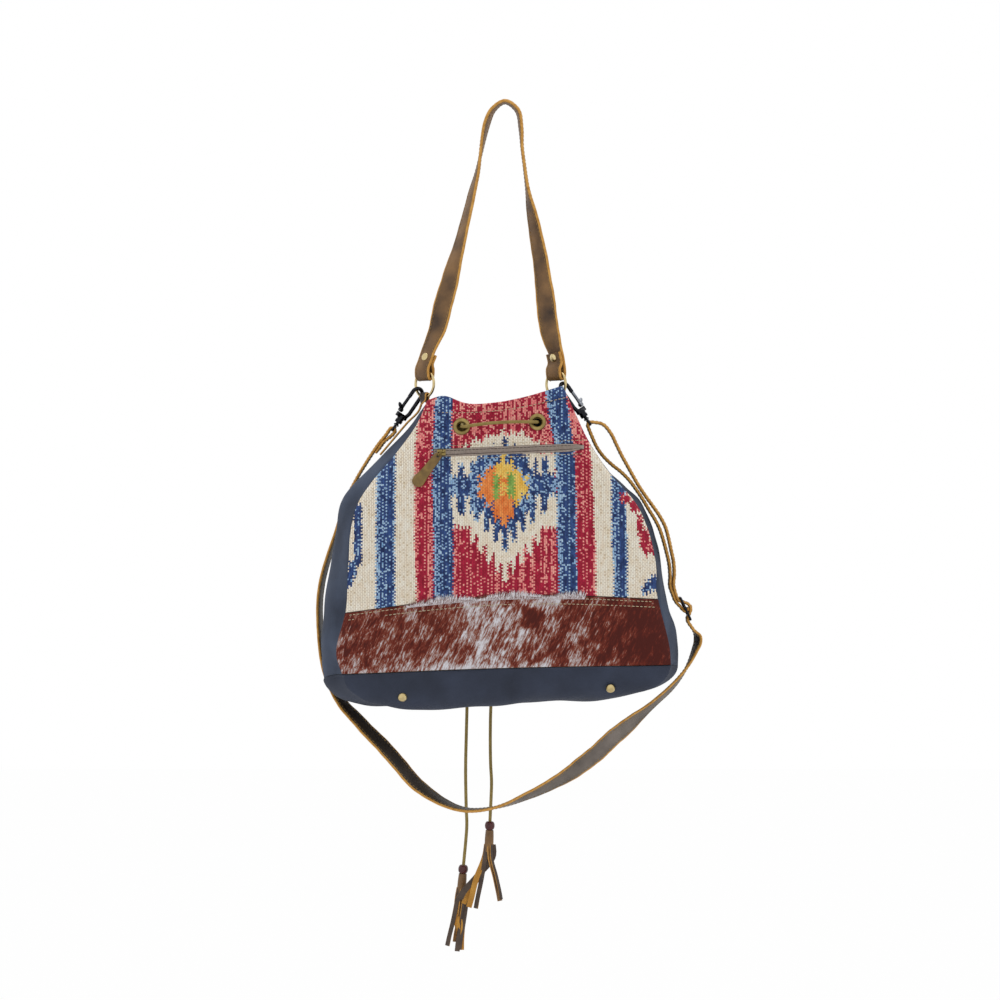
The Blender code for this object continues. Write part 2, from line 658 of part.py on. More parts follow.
def eyelets(kilim, back, lining):
    """Eyelets through the panels and the lining, with their holes."""
    wall = LINING_BACK
    profile = [(EYELET_FLANGE, 0.7), (EYELET_FLANGE - 0.8 * MM, 1.6), (6.6 * MM, 2.2),
               (EYELET_BORE, 1.1), (EYELET_BORE, -1.8), (8.4 * MM, -1.8), (8.4 * MM, -1.0),
               (EYELET_BARREL, -1.0), (EYELET_BARREL, 0.7)]
    for name, (x, z, side) in EYELETS.items():
        face = panel_point(x, z, side)
        normal = panel_normal(x, z, side)
        radius = EYELET_BARREL + HOLE_CLEARANCE
        reach = 14 * MM
        for panel in (kilim if side < 0 else back, lining):
            drill = turned("drill", [(0, -reach), (radius, -reach), (radius, reach), (0, reach)],
                           face, normal, 14, antique_brass())
            combine(panel, drill, "DIFFERENCE")
        points = []
        for r, h in profile:
            height = h * MM if h > 0 else -wall + h * MM
            points.append((r, height))
        turned(name, points, face, normal, 14, antique_brass(), ring=True)


def tail_points(route, bead_centre, direction):
    """A free end's points, over the eyelet's lip and at last straight into its tassel."""
    steps = (-45 * MM, -24 * MM, 0, BEAD_HALF_LENGTH + TASSEL_GAP + TASSEL_BORE_DEPTH - 1.5 * MM)
    ends = [bead_centre + unit(direction) * step for step in steps]
    return [*route[:3], *smooth_path([*route[3:], *ends], LACE_TAIL_SPACING)]


def lace(name, points):
    """A free or held stretch of the lace, as a plain tube."""
    curve = bpy.data.curves.new(name, "CURVE")
    curve.dimensions = "3D"
    curve.bevel_depth = LACE_RADIUS
    curve.bevel_resolution = 2
    curve.use_fill_caps = True
    spline = curve.splines.new("POLY")
    spline.points.add(len(points) - 1)
    for spot, place in zip(spline.points, points):
        spot.co = (*place, 1)
    curve.materials.append(lace_leather())
    piece = bpy.data.objects.new(name, curve)
    bpy.context.scene.collection.objects.link(piece)


def bead(name, centre, axis):
    bore = LACE_RADIUS + SEAT + 0.1 * MM
    half = BEAD_HALF_LENGTH
    profile = [(bore, -half), (BEAD_RADIUS * 0.72, -half), (BEAD_RADIUS, -half * 0.35),
               (BEAD_RADIUS, half * 0.35), (BEAD_RADIUS * 0.72, half), (bore, half)]
    turned(name, profile, centre, axis, 12, dark_wood(), ring=True)


def tassel(name, top, axis, tips):
    """A rolled leather head, bored for the lace, with strips cut below it."""
    bore = LACE_RADIUS + SEAT + 0.1 * MM
    wide = TASSEL_HEAD_RADIUS
    length = TASSEL_HEAD_LENGTH
    profile = [(0, TASSEL_BORE_DEPTH), (bore, TASSEL_BORE_DEPTH), (bore, 0), (wide * 0.8, 0),
               (wide, 2 * MM), (wide * 1.06, length * 0.6), (wide * 0.9, length), (0, length)]
    piece = turned(name, profile, top, axis, 12, strap_leather())
    for k, tip in enumerate(tips):
        turn = 2 * math.pi * k / len(tips)
        out = np.array([math.cos(turn), math.sin(turn), 0])
        start = top + axis * (length - 2.5 * MM) + out * 2.6 * MM
        route = [start, start + axis * 8 * MM + out * 1.2 * MM,
                 (start + axis * 10 * MM) * 0.45 + (top + tip) * 0.55 + out * 1.5 * MM, top + tip]
        path = smooth_path(route, 17 * MM)
        sideways = np.array([-out[1], out[0], 0]) + 0.4 * out
        section = flat_section(TASSEL_STRIP_WIDTH, TASSEL_STRIP_THICKNESS)
        strip = loft("strip", sweep_rings(path, sideways, section), strap_leather())
        combine(piece, strip, "UNION")


def turned_across(degrees):
    """Strap width direction, turned from X towards the viewer."""
    turn = math.radians(degrees)
    return np.array([math.cos(turn), -math.sin(turn), 0])


def arc(centre, first, second, radius, start, end, steps):
    """Points round centre, from start to end degrees between two axes."""
    turns = np.radians(np.linspace(start, end, steps + 1))
    return [centre + radius * (first * math.cos(t) + second * math.sin(t)) for t in turns]


def fold_back(line, across, centre, touching, length, straight):
    """The flap beside a strap's first stretch, from its free end down to the fold: it
    keeps the fold's width for the straight part and then closes up."""
    apart = 2 * np.linalg.norm(line[0] - centre)
    tangents = np.gradient(np.asarray(line), axis=0)
    first = np.cross(tangents[0], across[0])
    towards = 1 if np.dot(first, centre - line[0]) > 0 else -1
    run, flap = 0.0, []
    for i, point in enumerate(line):
        if i:
            run += np.linalg.norm(point - line[i - 1])
        if run > length:
            break
        closing = min(max((run - straight) / (6 * MM), 0), 1)
        normal = towards * unit(np.cross(tangents[i], across[i]))
        flap.append((point + normal * (apart + (touching - apart) * closing), across[i]))
    return flap[::-1]


def handle():
    """One strap from ring to ring, each end folded round its ring and riveted."""
    degrees = math.degrees(RING_TURN)
    bend = RING_WIRE + 2 * SEAT + HANDLE_THICKNESS / 2
    touching = HANDLE_THICKNESS + 0.8 * MM
    ring_across = turned_across(degrees)
    ring_normal = np.cross(UP, ring_across)
    folds = [ring + UP * HANDLE_FOLD_RISE for ring in (RING_LEFT, RING_RIGHT)]
    feet = [folds[0] - bend * ring_normal, folds[1] + bend * ring_normal]
    tops = [foot + UP * HANDLE_LEG for foot in feet]
    route = np.array([(*tops[0] / MM, degrees), *HANDLE_ROUTE, (*tops[1] / MM, degrees)])
    path = smooth_path(route, 6)
    last = len(path) - 1
    path = [p for i, p in enumerate(path) if min(i, last - i) < 5 or i % 2 == 0]
    line = [feet[0], *[p[:3] * MM for p in path], feet[1]]
    across = [ring_across, *[turned_across(p[3]) for p in path], ring_across]
    ends, holes = [], []
    for name, centre, step in (("handle_rivet_left", folds[0], 1), ("handle_rivet_right", folds[1], -1)):
        main, wide = line[::step], across[::step]
        flap = fold_back(main, wide, centre, touching, HANDLE_FLAP, HANDLE_LEG)
        towards = unit(flap[-1][0] - centre)
        fold = [(p, ring_across) for p in arc(centre, towards, -UP, bend, 18, 162, 8)]
        ends.append(flap + fold)
        holes.append(rivet(name, main, wide, centre, touching))
    whole = ends[0] + list(zip(line, across)) + ends[1][::-1]
    points = [p for p, _ in whole]
    widths = [w for _, w in whole]
    section = flat_section(HANDLE_WIDTH, HANDLE_THICKNESS)
    strap = loft("handle_strap", sweep_rings(points, widths, section), strap_leather())
    for centre, axis in holes:
        radius = RIVET_SHANK + HOLE_CLEARANCE
        profile = [(0, -9 * MM), (radius, -9 * MM), (radius, 9 * MM), (0, 9 * MM)]
        combine(strap, turned("drill", profile, centre, axis, 10, antique_brass()), "DIFFERENCE")


def rivet(name, line, wide, fold_centre, touching):
    """A domed rivet through a strap and its folded end; gives its middle and axis."""
    run = 0.0
    for i in range(1, len(line)):
        step = np.linalg.norm(line[i] - line[i - 1])
        if run + step >= RIVET_HEIGHT_ON_FLAP:
            break
        run += step
    share = (RIVET_HEIGHT_ON_FLAP - run) / step
    spot = line[i - 1] * (1 - share) + line[i] * share
    axis = unit(np.cross(line[i] - line[i - 1], wide[i]))
    first = np.cross(line[1] - line[0], wide[0])
    axis = axis if np.dot(first, fold_centre - line[0]) > 0 else -axis
    centre = spot + axis * touching / 2
    grip = (touching + HANDLE_THICKNESS) / 2 + SEAT + 0.2 * MM
    cap = RIVET_CAP
    profile = [(0, grip + 1.9 * MM), (cap * 0.55, grip + 1.6 * MM), (cap, grip + 0.5 * MM), (cap, grip),
               (RIVET_SHANK, grip), (RIVET_SHANK, -grip), (cap, -grip), (cap, -grip - 0.5 * MM),
               (cap * 0.55, -grip - 1.2 * MM), (0, -grip - 1.4 * MM)]
    turned(name, profile, centre, axis, 12, antique_brass())
    return centre, axis


def ring(name, centre):
    flat = turned_across(math.degrees(RING_TURN))
    turns = [2 * math.pi * k / 20 for k in range(20)]
    path = [centre + RING_RADIUS * (flat * math.cos(t) + UP * math.sin(t)) for t in turns]
    rings = sweep_rings(path, np.cross(UP, flat), circle(RING_WIRE, 6), True)
    smooth(loft(name, rings, antique_brass(), True), 60)


def ring_tab(name, centre, u, side):
    """A leather strip from outside the gusset, over the ring's wire, to inside the lining."""
    bend = RING_WIRE + SEAT + TAB_THICKNESS / 2
    flat = turned_across(math.degrees(RING_TURN))
    outwards = side * np.cross(UP, flat)
    wire = centre - UP * RING_RADIUS
    edge = -TOWARDS_BACK
    outer_face = -TAB_THICKNESS / 2
    inner_face = LINING_BACK + TAB_THICKNESS / 2 + 3.0 * MM
    gaps = zip(ROWS[3::-1], (1.8 * MM, 2.3 * MM, 3.0 * MM, 3.5 * MM))
    outside = [(wall_point(u, v, outer_face - gap), edge) for v, gap in gaps]
    inside = [(wall_point(u, v, inner_face), edge) for v in ROWS[:2]]
    over = [(p, flat) for p in arc(wire + UP * TAB_SLACK, outwards, UP, bend, 0, 180, 8)]
    below = wire - UP * 2.2 * MM
    outer_leg, inner_leg = below + outwards * bend, below - outwards * bend
    twist_in, twist_out = [], []
    for share in (0.2, 0.4, 0.6):
        across = unit(flat * (0.6 - share) + edge * share)
        twist_in.append((inner_leg * (1 - share) + inside[0][0] * share, across))
        twist_out.append((outer_leg * (1 - share) + outside[-1][0] * share, across))
    stations = [*outside, *twist_out[::-1], (outer_leg, flat), *over, (inner_leg, flat), *twist_in, *inside]
    points = [p for p, _ in stations]
    widths = [w for _, w in stations]
    loft(name, sweep_rings(points, widths, flat_section(TAB_WIDTH, TAB_THICKNESS)), strap_leather())


def clasp_frame(side):
    """Where a clasp's pivot is and its axes a, b and w, with the gate on its outer side."""
    centre, angle, axis, turn, reach, shift, outside = CLASPS[side]
    angle, turn = math.radians(angle), math.radians(turn)
    flat = turned_across(math.degrees(RING_TURN))
    spot = centre + RING_RADIUS * (flat * math.cos(angle) + UP * math.sin(angle))
    wire = -flat * math.sin(angle) + UP * math.cos(angle)
    a = unit(axis)
    w = unit(wire - np.dot(wire, a) * a)
    if np.cross(a, w)[0] * outside > 0:
        w = -w
    w = w * math.cos(turn) - np.cross(a, w) * math.sin(turn)
    b = np.cross(a, w)
    return spot - a * reach - b * shift, np.array([a, b, w])


def clasp(side):
    pivot, axes = clasp_frame(side)
    clasp_hook("clasp_hook_" + side, pivot, axes)
    clasp_gate("clasp_gate_" + side, pivot, axes)
    return clasp_eye("clasp_eye_" + side, pivot, axes)


def clasp_hook(name, pivot, axes):
    """Hook, base block and swivel barrel as one casting."""
    half = HOOK_HALF_WIDTH
    path = [(HOOK_NOSE, -half, 0), (HOOK_NOSE + 2.5 * MM, -half, 0)]
    for k in range(9):
        turn = math.pi * k / 8
        path.append((HOOK_CROWN + half * math.sin(turn), -half * math.cos(turn), 0))
    path += [(18 * MM, half, 0), (8 * MM, half, 0), (4 * MM, half * 0.8, 0), (1.5 * MM, half * 0.4, 0)]
    rings = sweep_rings(frame_points(path, pivot, axes), axes[2], circle(HOOK_BAR, 7))
    hook = loft(name, rings, gunmetal())
    block = box_between("block", pivot, axes, (-1 * MM, -8 * MM, -GATE_THICKNESS / 2),
                        (GATE_PIN[0] - GATE_BOSS - 0.4 * MM, half, GATE_THICKNESS / 2), gunmetal())
    combine(hook, block, "UNION")
    neck = SWIVEL_NECK + SEAT
    head = SWIVEL_HEAD + SEAT
    profile = [(0, 2 * MM), (BARREL_RADIUS, 2 * MM), (BARREL_RADIUS, -6.4 * MM),
               (BARREL_RADIUS - 0.6 * MM, -7 * MM), (neck, -7 * MM), (neck, -5.5 * MM),
               (head, -5.5 * MM), (head, -1.5 * MM), (0, -1.5 * MM)]
    barrel = turned("barrel", profile, pivot, axes[0], 12, gunmetal())
    combine(hook, barrel, "UNION")
    smooth(hook, 35)


def clasp_gate(name, pivot, axes):
    """Sprung gate with its boss and thumb piece."""
    pin = frame_points([(*GATE_PIN, 0)], pivot, axes)[0]
    half = GATE_THICKNESS / 2
    gate = turned(name, [(0, -half), (GATE_BOSS, -half), (GATE_BOSS, half), (0, half)],
                  pin, axes[2], 12, gunmetal())
    tip = (HOOK_NOSE - 0.4 * MM, GATE_PIN[1], 0)
    bar = [(GATE_PIN[0] + 0.5 * MM, GATE_PIN[1], 0), (15 * MM, GATE_PIN[1] - 0.3 * MM, 0), tip]
    rod = loft("rod", sweep_rings(frame_points(bar, pivot, axes), axes[2], circle(GATE_BAR, 6)), gunmetal())
    combine(gate, rod, "UNION")
    thumb = [(9.5 * MM, GATE_PIN[1], 0), (10.4 * MM, GATE_PIN[1] - 0.6 * THUMB_REACH, 0),
             (12.5 * MM, GATE_PIN[1] - THUMB_REACH, 0)]
    knob = loft("knob", sweep_rings(frame_points(thumb, pivot, axes), axes[2],
                                    circle(GATE_BAR * 0.9, 6)), gunmetal())
    combine(gate, knob, "UNION")
    smooth(gate, 35)


def clasp_eye(name, pivot, axes):
    """Eye for the strap, on a headed post that turns in the hook's barrel."""
    a = axes[0]
    side = TOWARDS_BACK
    profile = [(0, -1.9 * MM), (SWIVEL_HEAD, -1.9 * MM), (SWIVEL_HEAD, -5.1 * MM),
               (SWIVEL_NECK, -5.1 * MM), (SWIVEL_NECK, EYE_TOP), (0, EYE_TOP)]
    eye = turned(name, profile, pivot, a, 12, gunmetal())
    corner = 2.6 * MM
    path = []
    corners = ((EYE_TOP, 1, 0), (EYE_BAR, 1, 90), (EYE_BAR, -1, 180), (EYE_TOP, -1, 270))
    for height, sign, start in corners:
        inward = 1 if height == EYE_BAR else -1
        middle = pivot + a * (height + inward * corner) + side * sign * (EYE_HALF_WIDTH - corner)
        for k in range(4):
            turn = math.radians(start + 30 * k)
            path.append(middle + corner * (a * math.cos(turn) + side * math.sin(turn)))
    loop = loft("loop", sweep_rings(path, np.cross(a, side), circle(EYE_WIRE, 6), True), gunmetal(), True)
    combine(eye, loop, "UNION")
    smooth(eye, 35)
    return pivot + a * EYE_BAR, a


def in_slider(points):
    """Points along and out from the slider's middle bar."""
    out = np.cross(SLIDER_UP, TOWARDS_BACK) * -1
    out = out if out[0] > 0 else -out
    return [SLIDER_CENTRE + unit(SLIDER_UP) * t * MM + unit(out) * n * MM for t, n in points]


def crossbody_strap(left_eye, right_eye):
    """One strap: sewn loop at the left clasp, under the bag, through the slider, round the
    right clasp's eye, and back to the slider's middle bar."""
    centre, a = left_eye
    out = np.cross(a, TOWARDS_BACK)
    out = out if out[0] < 0 else -out
    start = centre + out * STRAP_BEND
    near = [(*start / MM, 0), (*(start - a * 5 * MM) / MM, 0)]
    through = in_slider(THREAD_THROUGH)
    route = np.array(near + [tuple(p) for p in STRAP_LEFT_ROUTE] + [(*through[0] / MM, 12)])
    sweep = smooth_path(route, 7.5)[:-1]
    sweep = np.array([p for i, p in enumerate(sweep) if i < 8 or i % 2 == 0])
    lower = sweep[:, :3] * MM
    tangents = np.gradient(lower, axis=0)
    widths = []
    for tangent, degrees in zip(tangents, sweep[:, 3]):
        turn = math.radians(degrees)
        outward = unit(np.cross(TOWARDS_BACK, tangent))
        widths.append(math.cos(turn) * -TOWARDS_BACK + math.sin(turn) * outward)
    flap = fold_back(lower[:8], widths[:8], centre, STRAP_THICKNESS + 0.6 * MM, STRAP_FLAP, 5 * MM)
    loop = arc(centre, -out, a, STRAP_BEND, 20, 160, 7)

    centre, a = right_eye
    out = np.cross(a, TOWARDS_BACK)
    out = out if out[0] > 0 else -out
    turn = arc(centre, out, a, STRAP_BEND, 35, 172, 7)
    outer = smooth_path(np.array([through[-1], *STRAP_OUTER_ROUTE, turn[0]]), 13 * MM)[1:-1]
    back = in_slider(THREAD_BACK)
    inner = smooth_path(np.array([turn[-1], *STRAP_INNER_ROUTE, back[0]]), 13 * MM)[1:-1]
    slider_out = unit(np.array([SLIDER_UP[2], 0, -SLIDER_UP[0]]))
    wrap_bend = SLIDER_BAR + SEAT + STRAP_THICKNESS / 2 + 0.1 * MM
    wrap = arc(SLIDER_CENTRE, -slider_out, -unit(SLIDER_UP), wrap_bend, 0, 180, 8)
    rest = through + list(outer) + turn + list(inner) + back + wrap
    points = [p for p, _ in flap] + loop + list(lower) + rest
    across = [w for _, w in flap] + [-TOWARDS_BACK] * len(loop) + widths
    across += [-TOWARDS_BACK] * len(rest)
    section = flat_section(STRAP_WIDTH, STRAP_THICKNESS)
    loft("crossbody_strap", sweep_rings(points, across, section), strap_leather())


def strap_slider():
    """A three-bar slider: a rounded frame with a middle bar."""
    up, side = unit(SLIDER_UP), TOWARDS_BACK
    corner = 2.5 * MM
    path = []
    for height, sign, start in ((1, 1, 0), (-1, 1, 90), (-1, -1, 180), (1, -1, 270)):
        middle = SLIDER_CENTRE + up * height * (SLIDER_PITCH - corner)
        middle = middle + side * sign * (SLIDER_HALF_WIDTH - corner)
        for k in range(4):
            turn = math.radians(start + 30 * k)
            path.append(middle + corner * (up * math.cos(turn) + side * math.sin(turn)))
    normal = np.cross(up, side)
    frame = loft("strap_slider", sweep_rings(path, normal, circle(SLIDER_BAR, 6), True), gunmetal(), True)
    ends = [SLIDER_CENTRE + side * sign * (SLIDER_HALF_WIDTH - 0.2 * MM) for sign in (-1, 1)]
    bar = loft("bar", sweep_rings(ends, normal, circle(SLIDER_BAR * 0.96, 6)), gunmetal())
    combine(frame, bar, "UNION")
    smooth(frame, 50)


def feet():
    """Domed feet, square to the sagging base."""
    for name, (u, q) in FEET.items():
        spot = wall_point(u, 1 + q)
        along = wall_point(u + 0.01, 1 + q) - wall_point(u - 0.01, 1 + q)
        inwards = wall_point(u, 1 + q + 0.01) - wall_point(u, 1 + q - 0.01)
        normal = unit(np.cross(along, inwards))
        normal = normal if normal[2] < 0 else -normal
        lift = SEAT + 0.4 * MM
        profile = [(0, lift), (FOOT_RADIUS, lift), (FOOT_RADIUS, lift + 1.2 * MM),
                   (FOOT_RADIUS * 0.8, FOOT_HEIGHT * 0.75), (FOOT_RADIUS * 0.4, FOOT_HEIGHT),
                   (0, FOOT_HEIGHT + 0.2 * MM)]
        turned(name, profile, spot, normal, 14, antique_brass())


def build():
    for old in list(bpy.data.objects):
        bpy.data.objects.remove(old)
    kilim, back, lining = body_panels()
    zip_pocket(kilim)
    eyelets(kilim, back, lining)
    lace("drawcord", smooth_path(LACE_HELD_ROUTE, LACE_HELD_SPACING))
    for side, route, centre, direction, tips in (
            ("left", LACE_LEFT_ROUTE, BEAD_LEFT, LACE_END_LEFT, TASSEL_LEFT_TIPS),
            ("right", LACE_RIGHT_ROUTE, BEAD_RIGHT, LACE_END_RIGHT, TASSEL_RIGHT_TIPS)):
        axis = unit(direction)
        lace("drawcord_tail_" + side, tail_points(route, centre, axis))
        bead("bead_" + side, centre, axis)
        head = centre + axis * (BEAD_HALF_LENGTH + TASSEL_GAP)
        tassel("tassel_" + side, head, axis, tips)
    handle()
    ring("ring_left", RING_LEFT)
    ring("ring_right", RING_RIGHT)
    ring_tab("ring_tab_left", RING_LEFT, 3.5, -1)
    ring_tab("ring_tab_right", RING_RIGHT, 1.5, 1)
    crossbody_strap(clasp("left"), clasp("right"))
    strap_slider()
    feet()


build()
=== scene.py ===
"""Drawstring shoulder bag: the look of its cloth, hide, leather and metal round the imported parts.

Metres, +Z up, seen from the front along +Y. The origin is the underside of the handle's
highest point, where a peg carries the bag.
"""
import math

import bmesh
import bpy
import numpy as np
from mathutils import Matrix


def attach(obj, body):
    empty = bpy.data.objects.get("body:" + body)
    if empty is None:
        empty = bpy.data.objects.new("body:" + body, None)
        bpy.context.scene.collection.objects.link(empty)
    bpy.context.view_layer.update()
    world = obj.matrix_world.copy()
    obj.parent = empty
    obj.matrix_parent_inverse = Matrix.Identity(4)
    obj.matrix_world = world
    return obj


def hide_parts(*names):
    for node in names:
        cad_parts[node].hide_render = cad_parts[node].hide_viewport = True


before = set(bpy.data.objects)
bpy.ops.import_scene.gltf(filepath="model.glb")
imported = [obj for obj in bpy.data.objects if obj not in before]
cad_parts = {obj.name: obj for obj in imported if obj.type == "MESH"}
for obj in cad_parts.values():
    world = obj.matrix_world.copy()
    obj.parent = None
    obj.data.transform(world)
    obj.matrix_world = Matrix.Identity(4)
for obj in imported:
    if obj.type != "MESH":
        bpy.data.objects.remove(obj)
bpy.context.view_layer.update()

MM = 0.001

# Camera and the picture's own scale
CAMERA = (-0.0055, -3.0, -0.4367)
LENS = 98.18
PICTURE_UNIT = 0.0011
PICTURE_MIDDLE = 500

# Studio: lamps by name, place, size and power
FLOOR_Z = -1.62
FLOOR_GLOW = 0.97
ROOM_LIGHT = 0.8
LAMPS = (("key", (-1.6, -2.2, 1.0), 1.4, 58), ("fill", (2.0, -1.8, -0.2), 1.6, 36),
         ("top", (0.2, 0.6, 1.6), 1.6, 14))
LAMP_AIM = (0, 0, -0.45)

# Cloth and leather thicknesses, from the outer face inwards
CLOTH = 2.0 * MM
LINING_BACK = 6.3 * MM
HAIR = 0.6 * MM
SEAT = 0.3 * MM
# How far a panel's edge keeps from its seam, in u and v
SEAM_GAP = 0.0015

# The bag's walls, level by level from the mouth (0) to the base seam (1)
LEVELS = (0, 0.09, 0.19, 0.30, 0.37, 0.46, 0.58, 0.77, 0.93, 1)
LEFT_SEAM = np.array([
    (-86, -332), (-98, -357), (-119, -386), (-145, -417), (-159, -438),
    (-167, -465), (-170, -503), (-173, -559), (-182, -606), (-176, -625)]) * MM
RIGHT_SEAM = np.array([
    (64, -314), (77, -343), (92, -374), (117, -411), (140, -437),
    (154, -465), (163, -501), (165.5, -544), (178, -598), (179, -615)]) * MM
LEFT_FOLD = np.array([
    (-3, -4), (-12, -2), (-15.5, -1), (-19, -1), (-17, 0),
    (-17, -4), (-20, 0), (-27, 2), (-20, 8), (-23, -7)]) * MM
RIGHT_FOLD = np.array([
    (-2, -24), (-4, -9), (-4, -3), (6, 0), (7, 2),
    (7, 0), (8, 0), (14, -4), (13, 4), (11, -5)]) * MM
HALF_DEPTH = np.array([26, 28, 31, 36, 40, 43, 46, 50, 53, 54]) * MM
BELLY = np.array([8, 8, 8, 10, 11, 12, 13, 13, 11, 8]) * MM
ARCH = np.array([-9, -4, 2, 6, 8, 9, 10, 11, 6, 2]) * MM
BELLY_CROWN = (24, 24, 24, 24, 20, 16, 12, 9, 8, 8)
BASE_LOW_Z = -659.5 * MM
BASE_SLOPE = 0.049
BASE_BOXINESS = 5
HIDE_TOP_LEVEL = 0.77
GATHER_HEIGHT = 1.2 * MM
GATHERS = 5
GATHER_FADE = 0.07
# A hem's section: v, then depth and rise in millimetres
HEM = [(0.07, 4.7, 0), (0.04, 4.7, 0), (0.012, 4.7, 0), (0, 4.5, 0.5), (0, 3.6, 1.3), (0, 2.2, 1.5),
       (0, 0.8, 1.0), (0, 0.15, 0.3)]
# A turned-in edge reaches this share of the cloth's thickness, and folds fade out near it
EDGE_SHARE = 0.9
FADE_V = 0.03
FADE_U = 0.02
# Soft folds: height, radians per metre along x, y and z, and shift
KILIM_WAVES = [(0.9 * MM, 34, 0, 8, 0.4), (0.6 * MM, 60, 0, -14, 1.3), (0.7 * MM, 11, 0, 27, 2.0)]
HIDE_WAVES = [(0.7 * MM, 41, 0, 20, 0.2), (0.5 * MM, 75, 0, -30, 1.9)]
CANVAS_WAVES = [(1.5 * MM, 30, 44, 12, 0.3), (1.2 * MM, -18, 70, 36, 1.7), (0.8 * MM, 66, -40, 58, 0.9),
                (0.35 * MM, 120, 90, -150, 0.5)]
# The mouth's edge stands up in a hump near its left end
MOUTH_HUMP = 9 * MM
MOUTH_HUMP_X = -66 * MM
MOUTH_HUMP_WIDTH = 17 * MM
MOUTH_HUMP_FOOT = -345 * MM
MOUTH_HUMP_REACH = 16 * MM

# Weave: one stitch's size, the groove between stitches in millimetres, and the painted shade multiplied into
# the grooves
STITCH_ACROSS = 1.9 * MM
STITCH_DOWN = 3.6 * MM
STITCH_RISE = 0.5 * MM
STITCH_GROOVE = 0.3
GROOVE_SHADE = (0.66, 0.58, 0.53, 1)
# Grid of each panel, in columns and rows
KILIM_GRID = (344, 262)
HIDE_GRID = (260, 60)

# Hide: the hairs' slant in radians, and its colours from deep brown to white
HAIR_SLANT = 0.42
HIDE_TINTS = ((0.44, "4a1005"), (0.53, "702514"), (0.575, "8c5644"), (0.625, "b09e9c"), (0.70, "d8d6dc"))
# How much paler or darker the coat is, across and down the picture
PALE_ACROSS = ((340, 380, 430, 450, 520, 560, 600, 670), (-0.1, -0.13, -0.1, 0.0, 0.05, -0.02, -0.2, -0.36))
PALE_DOWN = ((590, 600, 612, 650, 668), (0.08, 0.06, 0, -0.04, 0.08))
DARK_SPOT = (532, 618)
DARK_SPOT_SIZE = 9
# Hairs over the hide's upper seam: the stretch of u they cover, and their size
FRINGE_START = 0.2
FRINGE_SPAN = 0.56
FRINGE_RADIUS = 0.42 * MM
FRINGE_LEAN = 5 * MM

# Topstitching: thread, the pitch on leather and on cloth, and the tape's distance from its row
THREAD_RADIUS = 0.42 * MM
STRAP_THREAD = 0.3 * MM
STRAP_PITCH = 4.4 * MM
PANEL_PITCH = 4.6 * MM
STRAP_INSET = 3 * MM
ZIP_ROW_RISE = 7.4 * MM

# Zip pocket
ZIP_LEFT = (-78 * MM, -386 * MM)
ZIP_RIGHT = (86 * MM, -379 * MM)
ZIP_WINDOW_HEIGHT = 9.5 * MM
ZIP_TAPE_THICKNESS = 1.0 * MM
ZIP_CHAIN_HEIGHT = 4.2 * MM
ZIP_CHAIN_THICKNESS = 1.6 * MM
ZIP_FACE = 0.6 * MM
ZIP_LIP = 2.2 * MM
ZIP_NEAR = 15 * MM
ZIP_TAPER_FROM = 0.72
ZIP_TAPER = 2.4 * MM
ZIP_FOLD_WIRE = 0.75 * MM
ZIP_FOLD_INSET = 1.45 * MM
ZIP_LINK_PITCH = 2.0 * MM
ZIP_LINK_HALF = 0.7 * MM
ZIP_SLIDER_START = 9 * MM
ZIP_SLIDER_LENGTH = 9.0 * MM
ZIP_SLIDER_WALL = 1.0 * MM
ZIP_BRIDGE_SPAN = 6.6 * MM
ZIP_BRIDGE_RISE = 3.4 * MM
ZIP_WIRE = 0.7 * MM
PULL_RING_RADIUS = 4.2 * MM
PULL_RING_FLATNESS = 0.56
PULL_HEIGHT = 3.6 * MM
PULL_DROP = 0.03
PULL_LENGTH = 41 * MM
PULL_NECK = 4.6 * MM
PULL_BULB = 6.8 * MM
PULL_THICKNESS = 2.2 * MM
PULL_LEAN = math.radians(40)
PULL_BORE = 1.7 * MM

# Eyelets and lace
EYELET_BORE = 4.8 * MM
EYELET_BARREL = 5.6 * MM
EYELET_FLANGE = 9.4 * MM
EYELET_BACK_RADIUS = 8.4 * MM
EYELET_HOLE = EYELET_BARREL + 1.4 * MM
EYELETS = {
    "eyelet_front_left": (-47.3 * MM, -356.9 * MM, -1),
    "eyelet_front_right": (35.2 * MM, -352.0 * MM, -1),
    "eyelet_back_left": (-47.3 * MM, -352.0 * MM, 1),
    "eyelet_back_right": (35.2 * MM, -350.0 * MM, 1),
}
LACE_RADIUS = 1.8 * MM
LACE_HELD_ROUTE = np.array([
    (-47.3, 35.5, -352), (-47.3, 20, -352.6), (-47.3, 0, -354.6), (-47.3, -22, -356.6),
    (-47.3, -36, -356.9), (-44.5, -43, -357), (-37, -45.6, -356), (-22, -46.2, -354),
    (-5, -46.4, -352.6), (11, -46, -352), (25, -45, -352), (32.4, -42, -352),
    (35.2, -35, -352), (35.2, -20, -351.8), (35.2, 0, -351), (35.2, 20, -350.2),
    (35.2, 35.5, -350)]) * MM
LACE_LEFT_ROUTE = np.array([
    (-47.3, 36.4, -352), (-47.3, 42, -352.3), (-47.3, 46.6, -356), (-47.2, 48.6, -365),
    (-47, 51.5, -385), (-46.6, 57, -415), (-46, 61.5, -450), (-45.2, 65, -490),
    (-44.4, 68, -535), (-43.6, 69.5, -580), (-43, 69.5, -625), (-42.6, 69, -665),
    (-43.4, 69, -700), (-44.2, 69, -740), (-43.6, 69, -780)]) * MM
